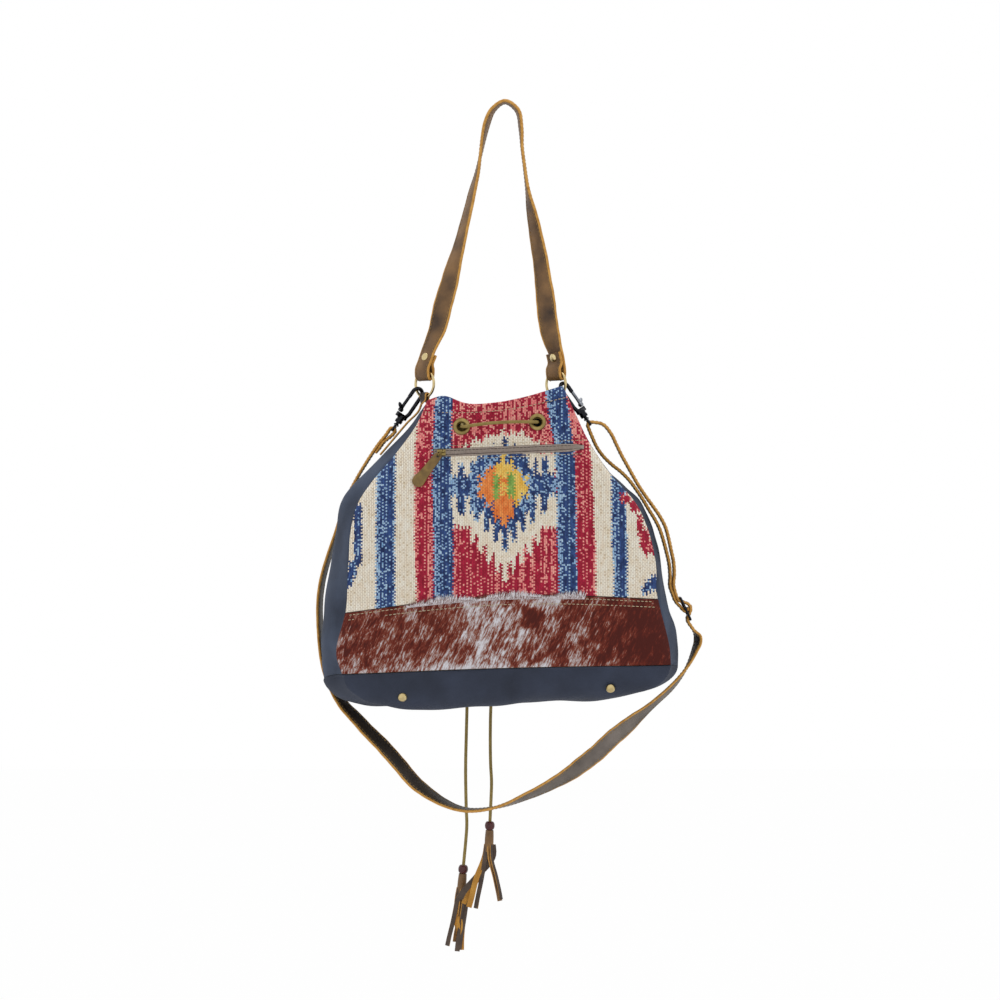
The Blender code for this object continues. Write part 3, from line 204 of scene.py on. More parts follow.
LACE_RIGHT_ROUTE = np.array([
    (35.2, 36.4, -350), (35.2, 42, -350.3), (34.8, 46.6, -354), (33.6, 48.6, -363),
    (30.4, 51.5, -384), (25, 57, -415), (18.6, 61.5, -450), (11, 65, -490),
    (2.6, 68, -535), (-5.6, 69.5, -580), (-12.4, 69.5, -625), (-15.6, 69, -665),
    (-16.4, 66, -700), (-16, 60, -733)]) * MM
LACE_TAIL_SPACING = 19 * MM
LACE_END_LEFT = (-0.09, 0, -1)
LACE_END_RIGHT = (-0.045, 0, -1)
BEAD_RADIUS = 5.5 * MM
BEAD_HALF_LENGTH = 4.6 * MM
BEAD_LEFT = np.array([-46.95, 69, -852]) * MM
BEAD_RIGHT = np.array([-16.95, 56, -801.5]) * MM

# Tassels: where each strip's tip hangs, measured from the head's top
TASSEL_HEAD_RADIUS = 5.0 * MM
TASSEL_HEAD_LENGTH = 22 * MM
TASSEL_BORE_DEPTH = 18 * MM
TASSEL_GAP = 0.6 * MM
TASSEL_STRIP_WIDTHS = (5.6, 4.8, 6.2, 5.0, 5.4)
TASSEL_STRIP_THICKNESS = 1.4 * MM
TASSEL_LEATHER_THICKNESS = 1.5 * MM
# Material numbers of each strip's face and back: brown, raw edge, ochre, grey-brown
TASSEL_FACES = ((3, 3), (0, 2), (3, 2), (2, 3), (3, 0))
TASSEL_LEFT_TIPS = np.array([
    (-6.5, -3, -90), (-1, -2, -88.5), (-3.5, 3, -86), (-18, 0, -84), (-9, 4, -80)]) * MM
TASSEL_RIGHT_TIPS = np.array([
    (-38, -2, -82), (-30, 4, -86), (-24, -3, -89), (-16, 2, -91), (12, 0, -82)]) * MM

# Handle, rings and tabs
HANDLE_WIDTH = 22 * MM
HANDLE_THICKNESS = 3.2 * MM
HANDLE_FLAP = 27 * MM
RING_RADIUS = 14.5 * MM
RING_WIRE = 1.5 * MM
RING_TURN = math.radians(45)
RING_LEFT = np.array([-88.3, 0, -309]) * MM
RING_RIGHT = np.array([56.1, 0, -309]) * MM
HANDLE_FOLD_RISE = 8.6 * MM
HANDLE_LEG = 8.5 * MM
RIVET_HEIGHT_ON_FLAP = 21.3 * MM
RIVET_CAP = 4.5 * MM
RIVET_SHANK = 1.5 * MM
# x, y, z in millimetres and how far the strap's width is turned from X, in degrees
HANDLE_ROUTE = np.array([
    (-88.3, -1.8, -284, 45), (-83.5, -1, -271, 44), (-75.5, 0, -252, 32), (-69.9, 0, -230, 20),
    (-59.5, 0, -191, 32), (-52.8, 0, -166, 50), (-47.8, 0, -147, 58), (-41.2, 0, -120, 65),
    (-35.2, 0, -95, 71), (-30.6, 0, -77, 80), (-27, 0, -57, 90), (-24, 0, -40, 98),
    (-20.4, 0, -24, 104), (-13.4, 0, -7.6, 100), (0, 0, 1.6, 90), (13.6, 0, -8, 84),
    (17.5, 0, -27, 84), (18.9, 0, -49, 90), (21.5, 0, -70, 90), (24.8, 0, -95, 85),
    (29.2, 0, -120, 64), (35.2, 0, -151, 50), (41.6, 0, -191, 38), (46.4, 0, -232, 16),
    (51.2, 0.4, -260, 28), (55.2, 1, -272, 44), (57.9, 1.8, -284, 45)])
TAB_WIDTH = 10 * MM
TAB_THICKNESS = 2.0 * MM
TAB_SLACK = 1.7 * MM
# Outside the gusset: v and the gap under the tab in millimetres, from its end up to the mouth
TAB_GAPS = ((0.19, 1.8), (0.13, 2.3), (0.065, 3.0), (0, 3.5))
TAB_INNER_LEVELS = (0, 0.065)

# Swivel clasps: a runs from the pivot to the hook's nose, b across it, w through it
# Each clasp: its ring, where it hooks the ring, its axis, its turn, and how far the
# wire stands from its pivot along a and b
CLASPS = {
    "left": (RING_LEFT, 225, (0.56, 0, 0.83), 20, 32.5 * MM, 1 * MM, -1),
    "right": (RING_RIGHT, -24, (-0.57, 0, 0.82), 20, 31 * MM, 1 * MM, 1),
}
HOOK_HALF_WIDTH = 6.5 * MM
HOOK_BAR = 2.2 * MM
HOOK_CROWN = 31 * MM
HOOK_NOSE = 24 * MM
# Along the hook in millimetres, and out as a share of its half width
HOOK_SHANK = ((24, 1), (18, 1), (12, 1), (8, 1), (4, 0.8), (1.5, 0.4))
GATE_PIN = (7 * MM, -6.5 * MM)
GATE_BAR = 1.8 * MM
GATE_BOSS = 2.4 * MM
GATE_THICKNESS = 4.4 * MM
THUMB_REACH = 7 * MM
BARREL_RADIUS = 4.2 * MM
SWIVEL_NECK = 2.0 * MM
SWIVEL_HEAD = 3.0 * MM
EYE_WIRE = 1.4 * MM
EYE_TOP = -10.5 * MM
EYE_BAR = -17 * MM
EYE_CORNER = 2.6 * MM

# Crossbody strap
STRAP_WIDTH = 19 * MM
STRAP_THICKNESS = 2.6 * MM
STRAP_SHOWN_THICKNESS = STRAP_THICKNESS * 1.15
STRAP_FLAP = 34 * MM
STRAP_BEND = EYE_WIRE + SEAT + STRAP_THICKNESS / 2
EYE_HALF_WIDTH = STRAP_WIDTH / 2 + 0.8 * MM + EYE_WIRE
# x, y, z in millimetres and how far the near edge is turned outwards, in degrees
STRAP_LEFT_ROUTE = np.array([
    (-139.5, 13, -375, 0), (-152, 21, -393, 0), (-164.5, 30, -413, 0), (-177, 37, -438, 4),
    (-187, 42, -471, 8), (-197, 42, -502, 12), (-204, 40, -529, 14), (-206.5, 38, -556, 14),
    (-205.5, 38, -586, 14), (-201.5, 37, -618, 16), (-194, 34, -640, 20),
    (-181, 27, -661, 28), (-160, 17, -683, 38), (-124, 8, -719.5, 48), (-99, 5, -748, 44),
    (-71, 4, -768, 24), (-44, 4, -778, 5), (-16, 4, -776.5, -4), (3, 4, -771.5, -14),
    (20, 4, -764.5, -26), (60, 4, -745, -50), (88, 4, -726, -76), (125, 4, -693.5, -72),
    (161, 3, -663, -26), (185, 2, -641, -18), (198, 1, -624, -6), (208, 0, -604, 12),
    (212.5, 0, -588, 22)])
STRAP_OUTER_ROUTE = np.array([
    (186, 0, -511), (182, 0, -489), (174.5, 0, -462), (163, 0, -444), (149.5, -1, -425),
    (135.5, -3, -401), (124.5, -6, -381), (116, -7.5, -363.5), (106, -8, -353)]) * MM
STRAP_INNER_ROUTE = np.array([
    (94.5, -8, -365), (104, -7, -384), (117, -5, -397.5), (131, -3, -409),
    (146.5, -1, -428.5), (158, 0, -447), (168.5, 0, -465), (176.5, 0, -490),
    (181, 0, -511)]) * MM
SLIDER_CENTRE = np.array([198, 0, -556]) * MM
SLIDER_UP = np.array([-0.42, 0, 0.9075])
SLIDER_BAR = 1.3 * MM
SLIDER_PITCH = 13 * MM
SLIDER_CORNER = 2.5 * MM
SLIDER_HALF_WIDTH = STRAP_WIDTH / 2 + 0.7 * MM + SLIDER_BAR
# Along and out from the slider's middle bar, in millimetres
THREAD_THROUGH = [(-26, -1.2), (-19.5, -2.5), (-13, -3.1), (-11.8, -2.85), (-10.8, -2.2),
                  (-4.3, 4.3), (-2.3, 5.65), (0, 6.1), (2.3, 5.65), (4.3, 4.3),
                  (10.8, -2.2), (11.8, -2.85), (13, -3.1), (20, -2.6), (28, -1.0)]
THREAD_BACK = [(28, -5.2), (20, -5.8), (13, -6.3), (8, -5.4), (4, -3.9), (1.4, -3.1)]

FOOT_RADIUS = 5.0 * MM
FOOT_HEIGHT = 4.4 * MM
FEET = {"foot_front_left": (0.15, 0.31), "foot_front_right": (0.85, 0.31),
        "foot_back_left": (2.85, 0.34), "foot_back_right": (2.2, 0.34)}

UP = np.array([0.0, 0, 1])
TOWARDS_BACK = np.array([0.0, 1, 0])

def unit(vector):
    """A vector's direction."""
    vector = np.asarray(vector, float)
    return vector / np.linalg.norm(vector)


def run_along(points):
    """The distance travelled at each point of a path."""
    return np.concatenate([[0], np.cumsum(np.linalg.norm(np.diff(points, axis=0), axis=1))])


def hermite(knots, values, t):
    """Smooth curve through values at the knots."""
    knots = np.asarray(knots, float)
    values = np.asarray(values, float)
    slopes = np.gradient(values, knots, axis=0)
    t = min(max(t, knots[0]), knots[-1])
    i = min(int(np.searchsorted(knots, t, side="right")) - 1, len(knots) - 2)
    span = knots[i + 1] - knots[i]
    f = (t - knots[i]) / span
    start = (1 + 2 * f) * (1 - f) ** 2 * values[i] + f * (1 - f) ** 2 * span * slopes[i]
    end = f * f * (3 - 2 * f) * values[i + 1] + f * f * (f - 1) * span * slopes[i + 1]
    return start + end


def smooth_path(points, spacing, fineness=400):
    """Points an even distance apart on a smooth curve; extra columns are blended too."""
    points = np.asarray(points, float)
    knots = run_along(points[:, :3])
    dense = np.array([hermite(knots, points, t) for t in np.linspace(0, knots[-1], fineness)])
    run = run_along(dense[:, :3])
    count = max(2, round(run[-1] / spacing) + 1)
    stops = np.linspace(0, run[-1], count)
    return np.array([np.interp(stops, run, column) for column in dense.T]).T


def put(name, data):
    """A new object of the scene round its data."""
    piece = bpy.data.objects.new(name, data)
    bpy.context.scene.collection.objects.link(piece)
    return piece


def reshape(mesh, change=None):
    """Apply a change to a mesh and turn its faces outwards."""
    shell = bmesh.new()
    shell.from_mesh(mesh)
    if change:
        change(shell)
    bmesh.ops.recalc_face_normals(shell, faces=shell.faces)
    shell.to_mesh(mesh)
    shell.free()


def mesh_object(name, points, faces, finish):
    """One closed solid with its faces pointing out."""
    mesh = bpy.data.meshes.new(name)
    mesh.from_pydata([tuple(p) for p in points], [], faces)
    reshape(mesh)
    mesh.materials.append(finish)
    return put(name, mesh)


def smooth(piece, degrees=40):
    """Shade a piece smooth, with edges sharper than degrees kept."""
    piece.data.shade_smooth()
    piece.data.set_sharp_from_angle(angle=math.radians(degrees))
    return piece


def settled(piece):
    """Give a piece the mesh that its modifiers make."""
    bpy.context.view_layer.update()
    seen = piece.evaluated_get(bpy.context.evaluated_depsgraph_get())
    mesh = bpy.data.meshes.new_from_object(seen)
    mesh.name = piece.name
    piece.modifiers.clear()
    piece.data = mesh
    return piece


def cut(piece, tool):
    """Cut tool out of piece; the tool is used up."""
    change = piece.modifiers.new("change", "BOOLEAN")
    change.operation = "DIFFERENCE"
    change.object = tool
    settled(piece)
    bpy.data.objects.remove(tool)
    return piece


def bevelled(piece, width):
    """Round a piece's edges."""
    change = piece.modifiers.new("bevel", "BEVEL")
    change.width = width
    change.segments = 3
    return settled(piece)


def loft(name, rings, finish, closed=False):
    """Skin rings of points into a solid, capped at both ends unless it closes on itself."""
    rings = np.asarray(rings)
    count, sides = rings.shape[:2]
    faces = []
    for i in range(count if closed else count - 1):
        here, there = i * sides, (i + 1) % count * sides
        for k in range(sides):
            after = (k + 1) % sides
            a, b, c, d = here + k, here + after, there + after, there + k
            faces += [(a, b, c), (a, c, d)] if 2 * k < sides else [(a, b, d), (b, c, d)]
    if not closed:
        faces.append(tuple(range(sides)))
        faces.append(tuple(range((count - 1) * sides, count * sides)))
    return mesh_object(name, rings.reshape(-1, 3), faces, finish)


def circle(radius, sides):
    """Section of a round wire."""
    turns = [2 * math.pi * k / sides for k in range(sides)]
    return [(radius * math.cos(t), radius * math.sin(t)) for t in turns]


def sweep_rings(path, across, section, closed=False):
    """Rings of a section swept along path; across gives its first axis at each point."""
    path = np.asarray(path)
    across = np.broadcast_to(across, path.shape)
    rings = []
    for i, centre in enumerate(path):
        if closed:
            tangent = unit(path[(i + 1) % len(path)] - path[i - 1])
        else:
            tangent = unit(path[min(i + 1, len(path) - 1)] - path[max(i - 1, 0)])
        first = unit(across[i] - np.dot(across[i], tangent) * tangent)
        second = np.cross(tangent, first)
        rings.append([centre + a * first + b * second for a, b in section])
    return rings


def frame_points(points, origin, axes):
    """Points given along local axes, as world points."""
    return np.asarray(origin) + np.asarray(points) @ np.asarray(axes)


def turned(name, profile, origin, axis, segments, finish, ring=False):
    """Solid of revolution of (radius, height) points about axis."""
    axis = unit(axis)
    helper = TOWARDS_BACK if abs(axis[1]) < 0.9 else UP
    first = unit(np.cross(axis, helper))
    second = np.cross(axis, first)
    points, rows = [], []
    for radius, height in profile:
        if radius < 1e-9:
            rows.append([len(points)] * segments)
            points.append(origin + axis * height)
            continue
        rows.append(list(range(len(points), len(points) + segments)))
        for k in range(segments):
            turn = 2 * math.pi * k / segments
            out = first * math.cos(turn) + second * math.sin(turn)
            points.append(origin + axis * height + out * radius)
    faces = []
    for i in range(len(rows) if ring else len(rows) - 1):
        here, there = rows[i], rows[(i + 1) % len(rows)]
        for k in range(segments):
            after = (k + 1) % segments
            corners = dict.fromkeys((here[k], here[after], there[after], there[k]))
            faces.append(tuple(corners))
    return smooth(mesh_object(name, points, faces, finish))


def wall_grid(us, levels):
    """Points of the bag for each (v, depth, rise) row and each u. u runs round the bag (0 front,
    1 right, 2 back, 3 left), v down the wall from 0 to 1 and on under the base to its middle
    at 2, depth inwards and rise upwards."""
    side = np.floor(us % 4).astype(int)
    t = us % 1
    s = np.where(side == 0, t, 1 - t)
    bulge = np.sin(np.pi * t)
    rows = []
    for v, depth, rise in levels:
        level = min(v, 1)
        left_x, left_z = hermite(LEVELS, LEFT_SEAM, level)
        right_x, right_z = hermite(LEVELS, RIGHT_SEAM, level)
        left_x, right_x = left_x + depth, right_x - depth
        half = hermite(LEVELS, HALF_DEPTH, level) - depth
        arch = hermite(LEVELS, ARCH, level)
        crown = hermite(LEVELS, BELLY_CROWN, level)
        gather = GATHER_HEIGHT * np.sin(2 * np.pi * GATHERS * s) * max(0, 1 - v / GATHER_FADE)
        belly = hermite(LEVELS, BELLY, level) * (1 - np.abs(2 * s - 1) ** crown)
        front_y = -(half + belly + gather * np.sin(np.pi * s))
        panel = np.array([left_x + (right_x - left_x) * s, np.where(side == 0, front_y, -front_y),
                          left_z + (right_z - left_z) * s + arch * np.sin(np.pi * s)])
        gussets = []
        for seam_x, seam_z, fold, turn in ((right_x, right_z, RIGHT_FOLD, 1),
                                           (left_x, left_z, LEFT_FOLD, -1)):
            fold_x, fold_z = hermite(LEVELS, fold, level)
            gussets.append(np.array([seam_x + fold_x * bulge, -half * (1 - 2 * t) * turn,
                                     seam_z + fold_z * bulge ** 2]))
        row = np.where(side % 2 == 0, panel, np.where(side == 1, gussets[0], gussets[1]))
        if v > 1:
            reach = 1 - (v - 1) ** 2
            drop = math.sqrt(1 - reach ** BASE_BOXINESS)
            middle = (left_x + right_x) / 2
            row[0] = middle + (row[0] - middle) * reach
            row[1] = row[1] * reach
            row[2] = row[2] * (1 - drop) + (BASE_LOW_Z + BASE_SLOPE * row[0] + depth) * drop
        row[2] += rise
        rows.append(row.T)
    return np.array(rows)


def wall_point(u, v, depth=0.0):
    """One point of the bag, as in wall_grid."""
    return wall_grid(np.array([u]), [(v, depth, 0)])[0, 0]


def panel_level(x, z, side):
    """The u and v of the front (side -1) or back (side 1) panel's point at x and z."""
    low, high = 0.0, 1.0
    for _ in range(40):
        v = (low + high) / 2
        left_x = hermite(LEVELS, LEFT_SEAM, v)[0]
        right_x = hermite(LEVELS, RIGHT_SEAM, v)[0]
        s = (x - left_x) / (right_x - left_x)
        u = s if side < 0 else 3 - s
        if wall_point(u, v)[2] > z:
            low = v
        else:
            high = v
    return u, v


def panel_point(x, z, side, depth=0.0):
    """Point of a panel at x and z, moved straight back by depth."""
    point = wall_point(*panel_level(x, z, side))
    return point - side * depth * TOWARDS_BACK


def panel_normal(x, z, side, step=4 * MM):
    """Outward normal of a panel, over a small patch."""
    along = panel_point(x + step, z, side) - panel_point(x - step, z, side)
    up = panel_point(x, z + step, side) - panel_point(x, z - step, side)
    return unit(np.cross(along, up) * -side)


def box_between(name, origin, axes, low, high, finish):
    """A box given by its low and high corners along local axes."""
    outline = [(low[0], low[2]), (high[0], low[2]), (high[0], high[2]), (low[0], high[2])]
    rings = [frame_points([(x, y, z) for x, z in outline], origin, axes)
             for y in (low[1], high[1])]
    return loft(name, rings, finish)


def zip_frame():
    """The zip's middle, its length, and its axes: along, into the bag, up."""
    left = panel_point(*ZIP_LEFT, -1)
    right = panel_point(*ZIP_RIGHT, -1)
    along = unit(right - left)
    middle = (left + right) / 2
    inwards = -panel_normal(middle[0], middle[2], -1)
    up = unit(np.cross(along, inwards))
    inwards = np.cross(up, along)
    return middle, np.linalg.norm(right - left), np.array([along, inwards, up])


def tail_points(route, bead_centre, direction):
    """A free end's points, over the eyelet's lip and at last straight into its tassel."""
    steps = (-45 * MM, -24 * MM, 0, BEAD_HALF_LENGTH + TASSEL_GAP + TASSEL_BORE_DEPTH + 3 * MM)
    ends = [bead_centre + unit(direction) * step for step in steps]
    return [*route[:3], *smooth_path([*route[3:], *ends], LACE_TAIL_SPACING)]


def turned_across(degrees):
    """Strap width direction, turned from X towards the viewer."""
    turn = math.radians(degrees)
    return np.array([math.cos(turn), -math.sin(turn), 0])


def arc(centre, first, second, radius, start, end, steps):
    """Points round centre, from start to end degrees between two axes."""
    turns = np.radians(np.linspace(start, end, steps + 1))
    return [centre + radius * (first * math.cos(t) + second * math.sin(t)) for t in turns]


def fold_back(line, across, centre, touching, length, straight):
    """The flap beside a strap's first stretch, from its free end down to the fold: it
    keeps the fold's width for the straight part and then closes up."""
    apart = 2 * np.linalg.norm(line[0] - centre)
    tangents = np.gradient(np.asarray(line), axis=0)
    first = np.cross(tangents[0], across[0])
    towards = 1 if np.dot(first, centre - line[0]) > 0 else -1
    run, flap = 0.0, []
    for i, point in enumerate(line):
        if i:
            run += np.linalg.norm(point - line[i - 1])
        if run > length:
            break
        closing = min(max((run - straight) / (6 * MM), 0), 1)
        normal = towards * unit(np.cross(tangents[i], across[i]))
        flap.append((point + normal * (apart + (touching - apart) * closing), across[i]))
    return flap[::-1]


def rounded_frame(centre, up, side, low, high, half, corner):
    """Points round a rectangle with rounded corners, from low to high along up."""
    path = []
    for height, inward, sign, start in ((high, -1, 1, 0), (low, 1, 1, 90),
                                        (low, 1, -1, 180), (high, -1, -1, 270)):
        middle = centre + up * (height + inward * corner) + side * sign * (half - corner)
        path += arc(middle, up, side, corner, start, start + 90, 8)
    return path


def clasp_frame(side):
    """Where a clasp's pivot is and its axes a, b and w, with the gate on its outer side."""
    centre, angle, axis, turn, reach, shift, outside = CLASPS[side]
    angle, turn = math.radians(angle), math.radians(turn)
    flat = turned_across(math.degrees(RING_TURN))
    spot = centre + RING_RADIUS * (flat * math.cos(angle) + UP * math.sin(angle))
    wire = -flat * math.sin(angle) + UP * math.cos(angle)
    a = unit(axis)
    w = unit(wire - np.dot(wire, a) * a)
    if np.cross(a, w)[0] * outside > 0:
        w = -w
    w = w * math.cos(turn) - np.cross(a, w) * math.sin(turn)
    b = np.cross(a, w)
    return spot - a * reach - b * shift, np.array([a, b, w])


def in_slider(points):
    """Points along and out from the slider's middle bar."""
    out = np.cross(SLIDER_UP, TOWARDS_BACK) * -1
    out = out if out[0] > 0 else -out
    return [SLIDER_CENTRE + unit(SLIDER_UP) * t * MM + unit(out) * n * MM for t, n in points]


def srgb(text):
    """Linear colour of a six-digit screen colour."""
    levels = [int(text[i:i + 2], 16) / 255 for i in (0, 2, 4)]
    return tuple(c / 12.92 if c <= 0.04045 else ((c + 0.055) / 1.055) ** 2.4 for c in levels)


def add_node(tree, kind, sockets=()):
    """A shader node whose sockets take a fixed value or another node's output."""
    made = tree.nodes.new("ShaderNode" + kind)
    for socket, value in dict(sockets).items():
        if isinstance(value, bpy.types.NodeSocket):
            tree.links.new(value, made.inputs[socket])
        else:
            made.inputs[socket].default_value = value
    return made


def maths(tree, operation, a, b):
    """The result of an operation on two values or outputs."""
    made = add_node(tree, "Math", {0: a, 1: b})
    made.operation = operation
    return made.outputs[0]


def add_relief(tree, height, strength, distance, invert=False):
    """Raise the surface by a height output."""
    relief = add_node(tree, "Bump", {"Strength": strength, "Distance": distance, "Height": height})
    relief.invert = invert
    tree.links.new(relief.outputs["Normal"], tree.nodes["Principled BSDF"].inputs["Normal"])


def shader_material(name, roughness):
    """A material with its node tree and main shader."""
    made = bpy.data.materials.new(name)
    made.use_nodes = True
    shader = made.node_tree.nodes["Principled BSDF"]
    shader.inputs["Roughness"].default_value = roughness
    return made, made.node_tree, shader


def material(name, colour, other, roughness, metallic=0.0, patch=60.0, bump=0.0, grain=900.0,
             stretch=(1, 1, 1), spread=0.25):
    """A surface that drifts between two screen colours in soft patches, with a fine grain."""
    made, tree, shader = shader_material(name, roughness)
    shader.inputs["Metallic"].default_value = metallic
    place = add_node(tree, "TexCoord")
    mapping = add_node(tree, "Mapping", {"Scale": stretch, "Vector": place.outputs["Object"]})
    spot = mapping.outputs["Vector"]
    noise = add_node(tree, "TexNoise", {"Scale": patch, "Detail": 5, "Vector": spot})
    ramp = add_node(tree, "ValToRGB", {"Fac": noise.outputs["Fac"]})
    for k, (tint, position) in enumerate(((colour, 0.5 - spread), (other, 0.5 + spread))):
        ramp.color_ramp.elements[k].position = position
        ramp.color_ramp.elements[k].color = (*srgb(tint), 1)
    tree.links.new(ramp.outputs["Color"], shader.inputs["Base Color"])
    if bump:
        fine = add_node(tree, "TexNoise", {"Scale": grain, "Detail": 3, "Vector": spot})
        add_relief(tree, fine.outputs["Fac"], bump, 0.6 * MM)
    return made


def yarn(name, colour, other):
    """A dyed yarn: staggered stitches, with painted shade darkening the grooves between them."""
    made = material("yarn_" + name, colour, other, 0.92, patch=240, stretch=(1, 1, 0.45), spread=0.16)
    tree = made.node_tree
    ramp = next(node for node in tree.nodes if node.type == "VALTORGB")
    place = next(node for node in tree.nodes if node.type == "TEX_COORD")
    split = add_node(tree, "SeparateXYZ", {"Vector": place.outputs["Object"]})
    shift = maths(tree, "ADD", split.outputs["X"], STITCH_ACROSS)
    turn = add_node(tree, "CombineXYZ", {"X": split.outputs["Z"], "Y": shift})
    brick = add_node(tree, "TexBrick", {
        "Scale": 1 / MM, "Brick Width": STITCH_DOWN / MM, "Row Height": STITCH_ACROSS / MM,
        "Mortar Size": STITCH_GROOVE, "Mortar Smooth": 1.0, "Vector": turn.outputs["Vector"]})
    mix = add_node(tree, "Mix", {"Factor": brick.outputs["Fac"]})
    mix.data_type = "RGBA"
    mix.blend_type = "MULTIPLY"
    plain, shade = [socket for socket in mix.inputs if socket.type == "RGBA"]
    # Painted shade: the grooves between stitches are multiplied by this darker colour
    shade.default_value = GROOVE_SHADE
    tree.links.new(ramp.outputs["Color"], plain)
    mixed = next(socket for socket in mix.outputs if socket.type == "RGBA")
    tree.links.new(mixed, tree.nodes["Principled BSDF"].inputs["Base Color"])
    add_relief(tree, brick.outputs["Fac"], 0.8, 0.7 * MM, invert=True)
    return made


YARNS = {name: yarn(name, colour, other) for name, colour, other in (
    ("crimson", "980b2c", "c01e42"), ("coral", "f0747a", "ffb6a6"), ("navy", "1a2c5c", "385896"),
    ("blue", "78a4d4", "bcdaf2"), ("cream", "f6e8d0", "fff9ea"), ("sand", "dcc8a6", "efe0c8"),
    ("yellow", "f6be48", "ffe07c"), ("orange", "ee7430", "ffa658"), ("green", "6aa048", "a4c864"))}
YARN_ORDER = list(YARNS)

# One navy canvas in two copies: this darker one is painted shade on the base and also serves the back; the
# lighter one below is a painted highlight on the gussets
CANVAS = material("navy_canvas", "1e2432", "363e52", 0.85, patch=22, bump=0.8, grain=700, spread=0.3)
LIT_CANVAS = material("lit_navy_canvas", "1f2738", "48546a", 0.85, patch=20, bump=0.8, grain=700,
                       spread=0.26)
LINING = material("lining_cloth", "8d8371", "a39a88", 0.9, patch=80, bump=0.3)
LEATHER = material("brown_leather", "35210f", "8c673c", 0.55, patch=30, bump=0.5, grain=700, spread=0.2)
GREY_LEATHER = material("grey_brown_leather", "4a423b", "80766e", 0.5, patch=30, bump=0.5, grain=700,
                        spread=0.2)
# Dark leather for the ring tabs; on one face of the crossbody strap it stands in as painted shade
DARK_LEATHER = material("dark_leather", "1a140e", "382c20", 0.5, patch=60, bump=0.4, grain=700)
TASSEL_LEATHER = material("tassel_leather", "35281f", "5f4c3e", 0.55, patch=70, bump=0.4, grain=700)
RAW_EDGE = material("raw_leather_edge", "b37c2c", "dfa955", 0.75, patch=220, bump=0.4)
OCHRE_LEATHER = material("ochre_leather", "a8701f", "cf9a3e", 0.7, patch=90, bump=0.4)
OLIVE_LACE = material("olive_lace", "7d6a34", "9c874a", 0.75, patch=160, bump=0.4)
PULL_LEATHER = material("pull_leather", "5b4420", "94763c", 0.6, patch=120, bump=0.4)
BRASS = material("antique_brass_finish", "6e5f38", "b09a62", 0.34, 1.0, patch=90, spread=0.2)
PALE_BRASS = material("pale_brass_finish", "b8a06a", "e0cfa0", 0.25, 1.0, patch=90)
GUNMETAL = material("gunmetal_finish", "1d1d20", "34353a", 0.28, 1.0, patch=140)
STEEL = material("satin_lever_finish", "6d7077", "8f939a", 0.35, 1.0, patch=140)
ZIP_CLOTH = material("zip_tape_cloth", "998a80", "b9aba0", 0.75, patch=300, bump=0.4)
ZIP_COIL = material("zip_coil", "8b7c72", "aa9b90", 0.5, patch=300)
# Colour of the thin strips beside the zip's coil: painted shade in the grooves between coil and tape
ZIP_GROOVE_SHADE = material("zip_groove", "2e2825", "48403b", 0.7, patch=300)
WOOD = material("oiled_dark_wood", "330d10", "5a1a1c", 0.22, patch=150, stretch=(1, 1, 0.3))
THREAD = material("pale_thread", "d8c8a4", "ece0c4", 0.8, patch=400)
TAN_THREAD = material("tan_thread", "866a3a", "a5854f", 0.8, patch=400)
WHITE_HAIR = material("white_hair", "dedbe0", "fbf9fa", 0.6, patch=300)
BROWN_HAIR = material("brown_hair", "6a3226", "94645a", 0.6, patch=300)


def hide_material():
    """Short hair, red-brown with white: white patches where the hide is pale, flecks elsewhere."""
    made, tree, shader = shader_material("hair_on_hide_coat", 0.66)
    shader.inputs["Specular IOR Level"].default_value = 0.25
    place = add_node(tree, "TexCoord")

    def noise(scale, narrowing, detail, roughness=0.6):
        """Noise drawn out along the hairs."""
        mapping = add_node(tree, "Mapping", {
            "Scale": (1, 1, 1 / narrowing), "Rotation": (0, HAIR_SLANT, 0),
            "Vector": place.outputs["Object"]})
        mapping.vector_type = "TEXTURE"
        grain = add_node(tree, "TexNoise", {
            "Scale": scale, "Detail": detail, "Roughness": roughness,
            "Vector": mapping.outputs["Vector"]})
        return grain.outputs["Fac"]

    paleness = add_node(tree, "Attribute")
    paleness.attribute_name = "pale"
    patches = noise(70, 0.6, 5)
    flecks = maths(tree, "MULTIPLY", noise(400, 0.24, 5, 0.75), 1.3)
    fine = maths(tree, "SUBTRACT", noise(900, 0.1, 3), 0.5)
    strands = maths(tree, "MULTIPLY", fine, 0.6)
    total = maths(tree, "ADD", patches, flecks)
    total = maths(tree, "ADD", total, paleness.outputs["Fac"])
    total = maths(tree, "ADD", total, strands)
    ramp = add_node(tree, "ValToRGB", {"Fac": maths(tree, "MULTIPLY", total, 0.5)})
    stops = ramp.color_ramp.elements
    for k in (0, -1):
        stops[k].position = HIDE_TINTS[k][0]
        stops[k].color = (*srgb(HIDE_TINTS[k][1]), 1)
    for position, tint in HIDE_TINTS[1:-1]:
        stops.new(position).color = (*srgb(tint), 1)
    tree.links.new(ramp.outputs["Color"], shader.inputs["Base Color"])
    add_relief(tree, noise(520, 0.12, 4), 0.7, 1 * MM)
    return made


HIDE = hide_material()


def take(piece, finish, body="bag", replaces=()):
    """Hand a finished piece to its body."""
    if finish is not None:
        slots = piece.data.materials
        for k, each in enumerate(finish if isinstance(finish, (list, tuple)) else [finish]):
            if k < len(slots):
                slots[k] = each
            else:
                slots.append(each)
    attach(piece, body)
    if replaces:
        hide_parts(*([replaces] if isinstance(replaces, str) else replaces))
    return piece


def creases(points, waves):
    """Soft folds: each wave is (height, direction x, y, z per metre, shift)."""
    total = np.zeros(points.shape[:2])
    for height, along, back, up, shift in waves:
        phase = points[..., 0] * along + points[..., 1] * back + points[..., 2] * up + shift
        total += height * np.sin(phase)
    return total


def edge_fade(values, reach):
    """From 0 at both ends of a row of values to 1 at reach from them."""
    return np.clip(np.minimum(values - values[0], values[-1] - values) / reach, 0, 1)


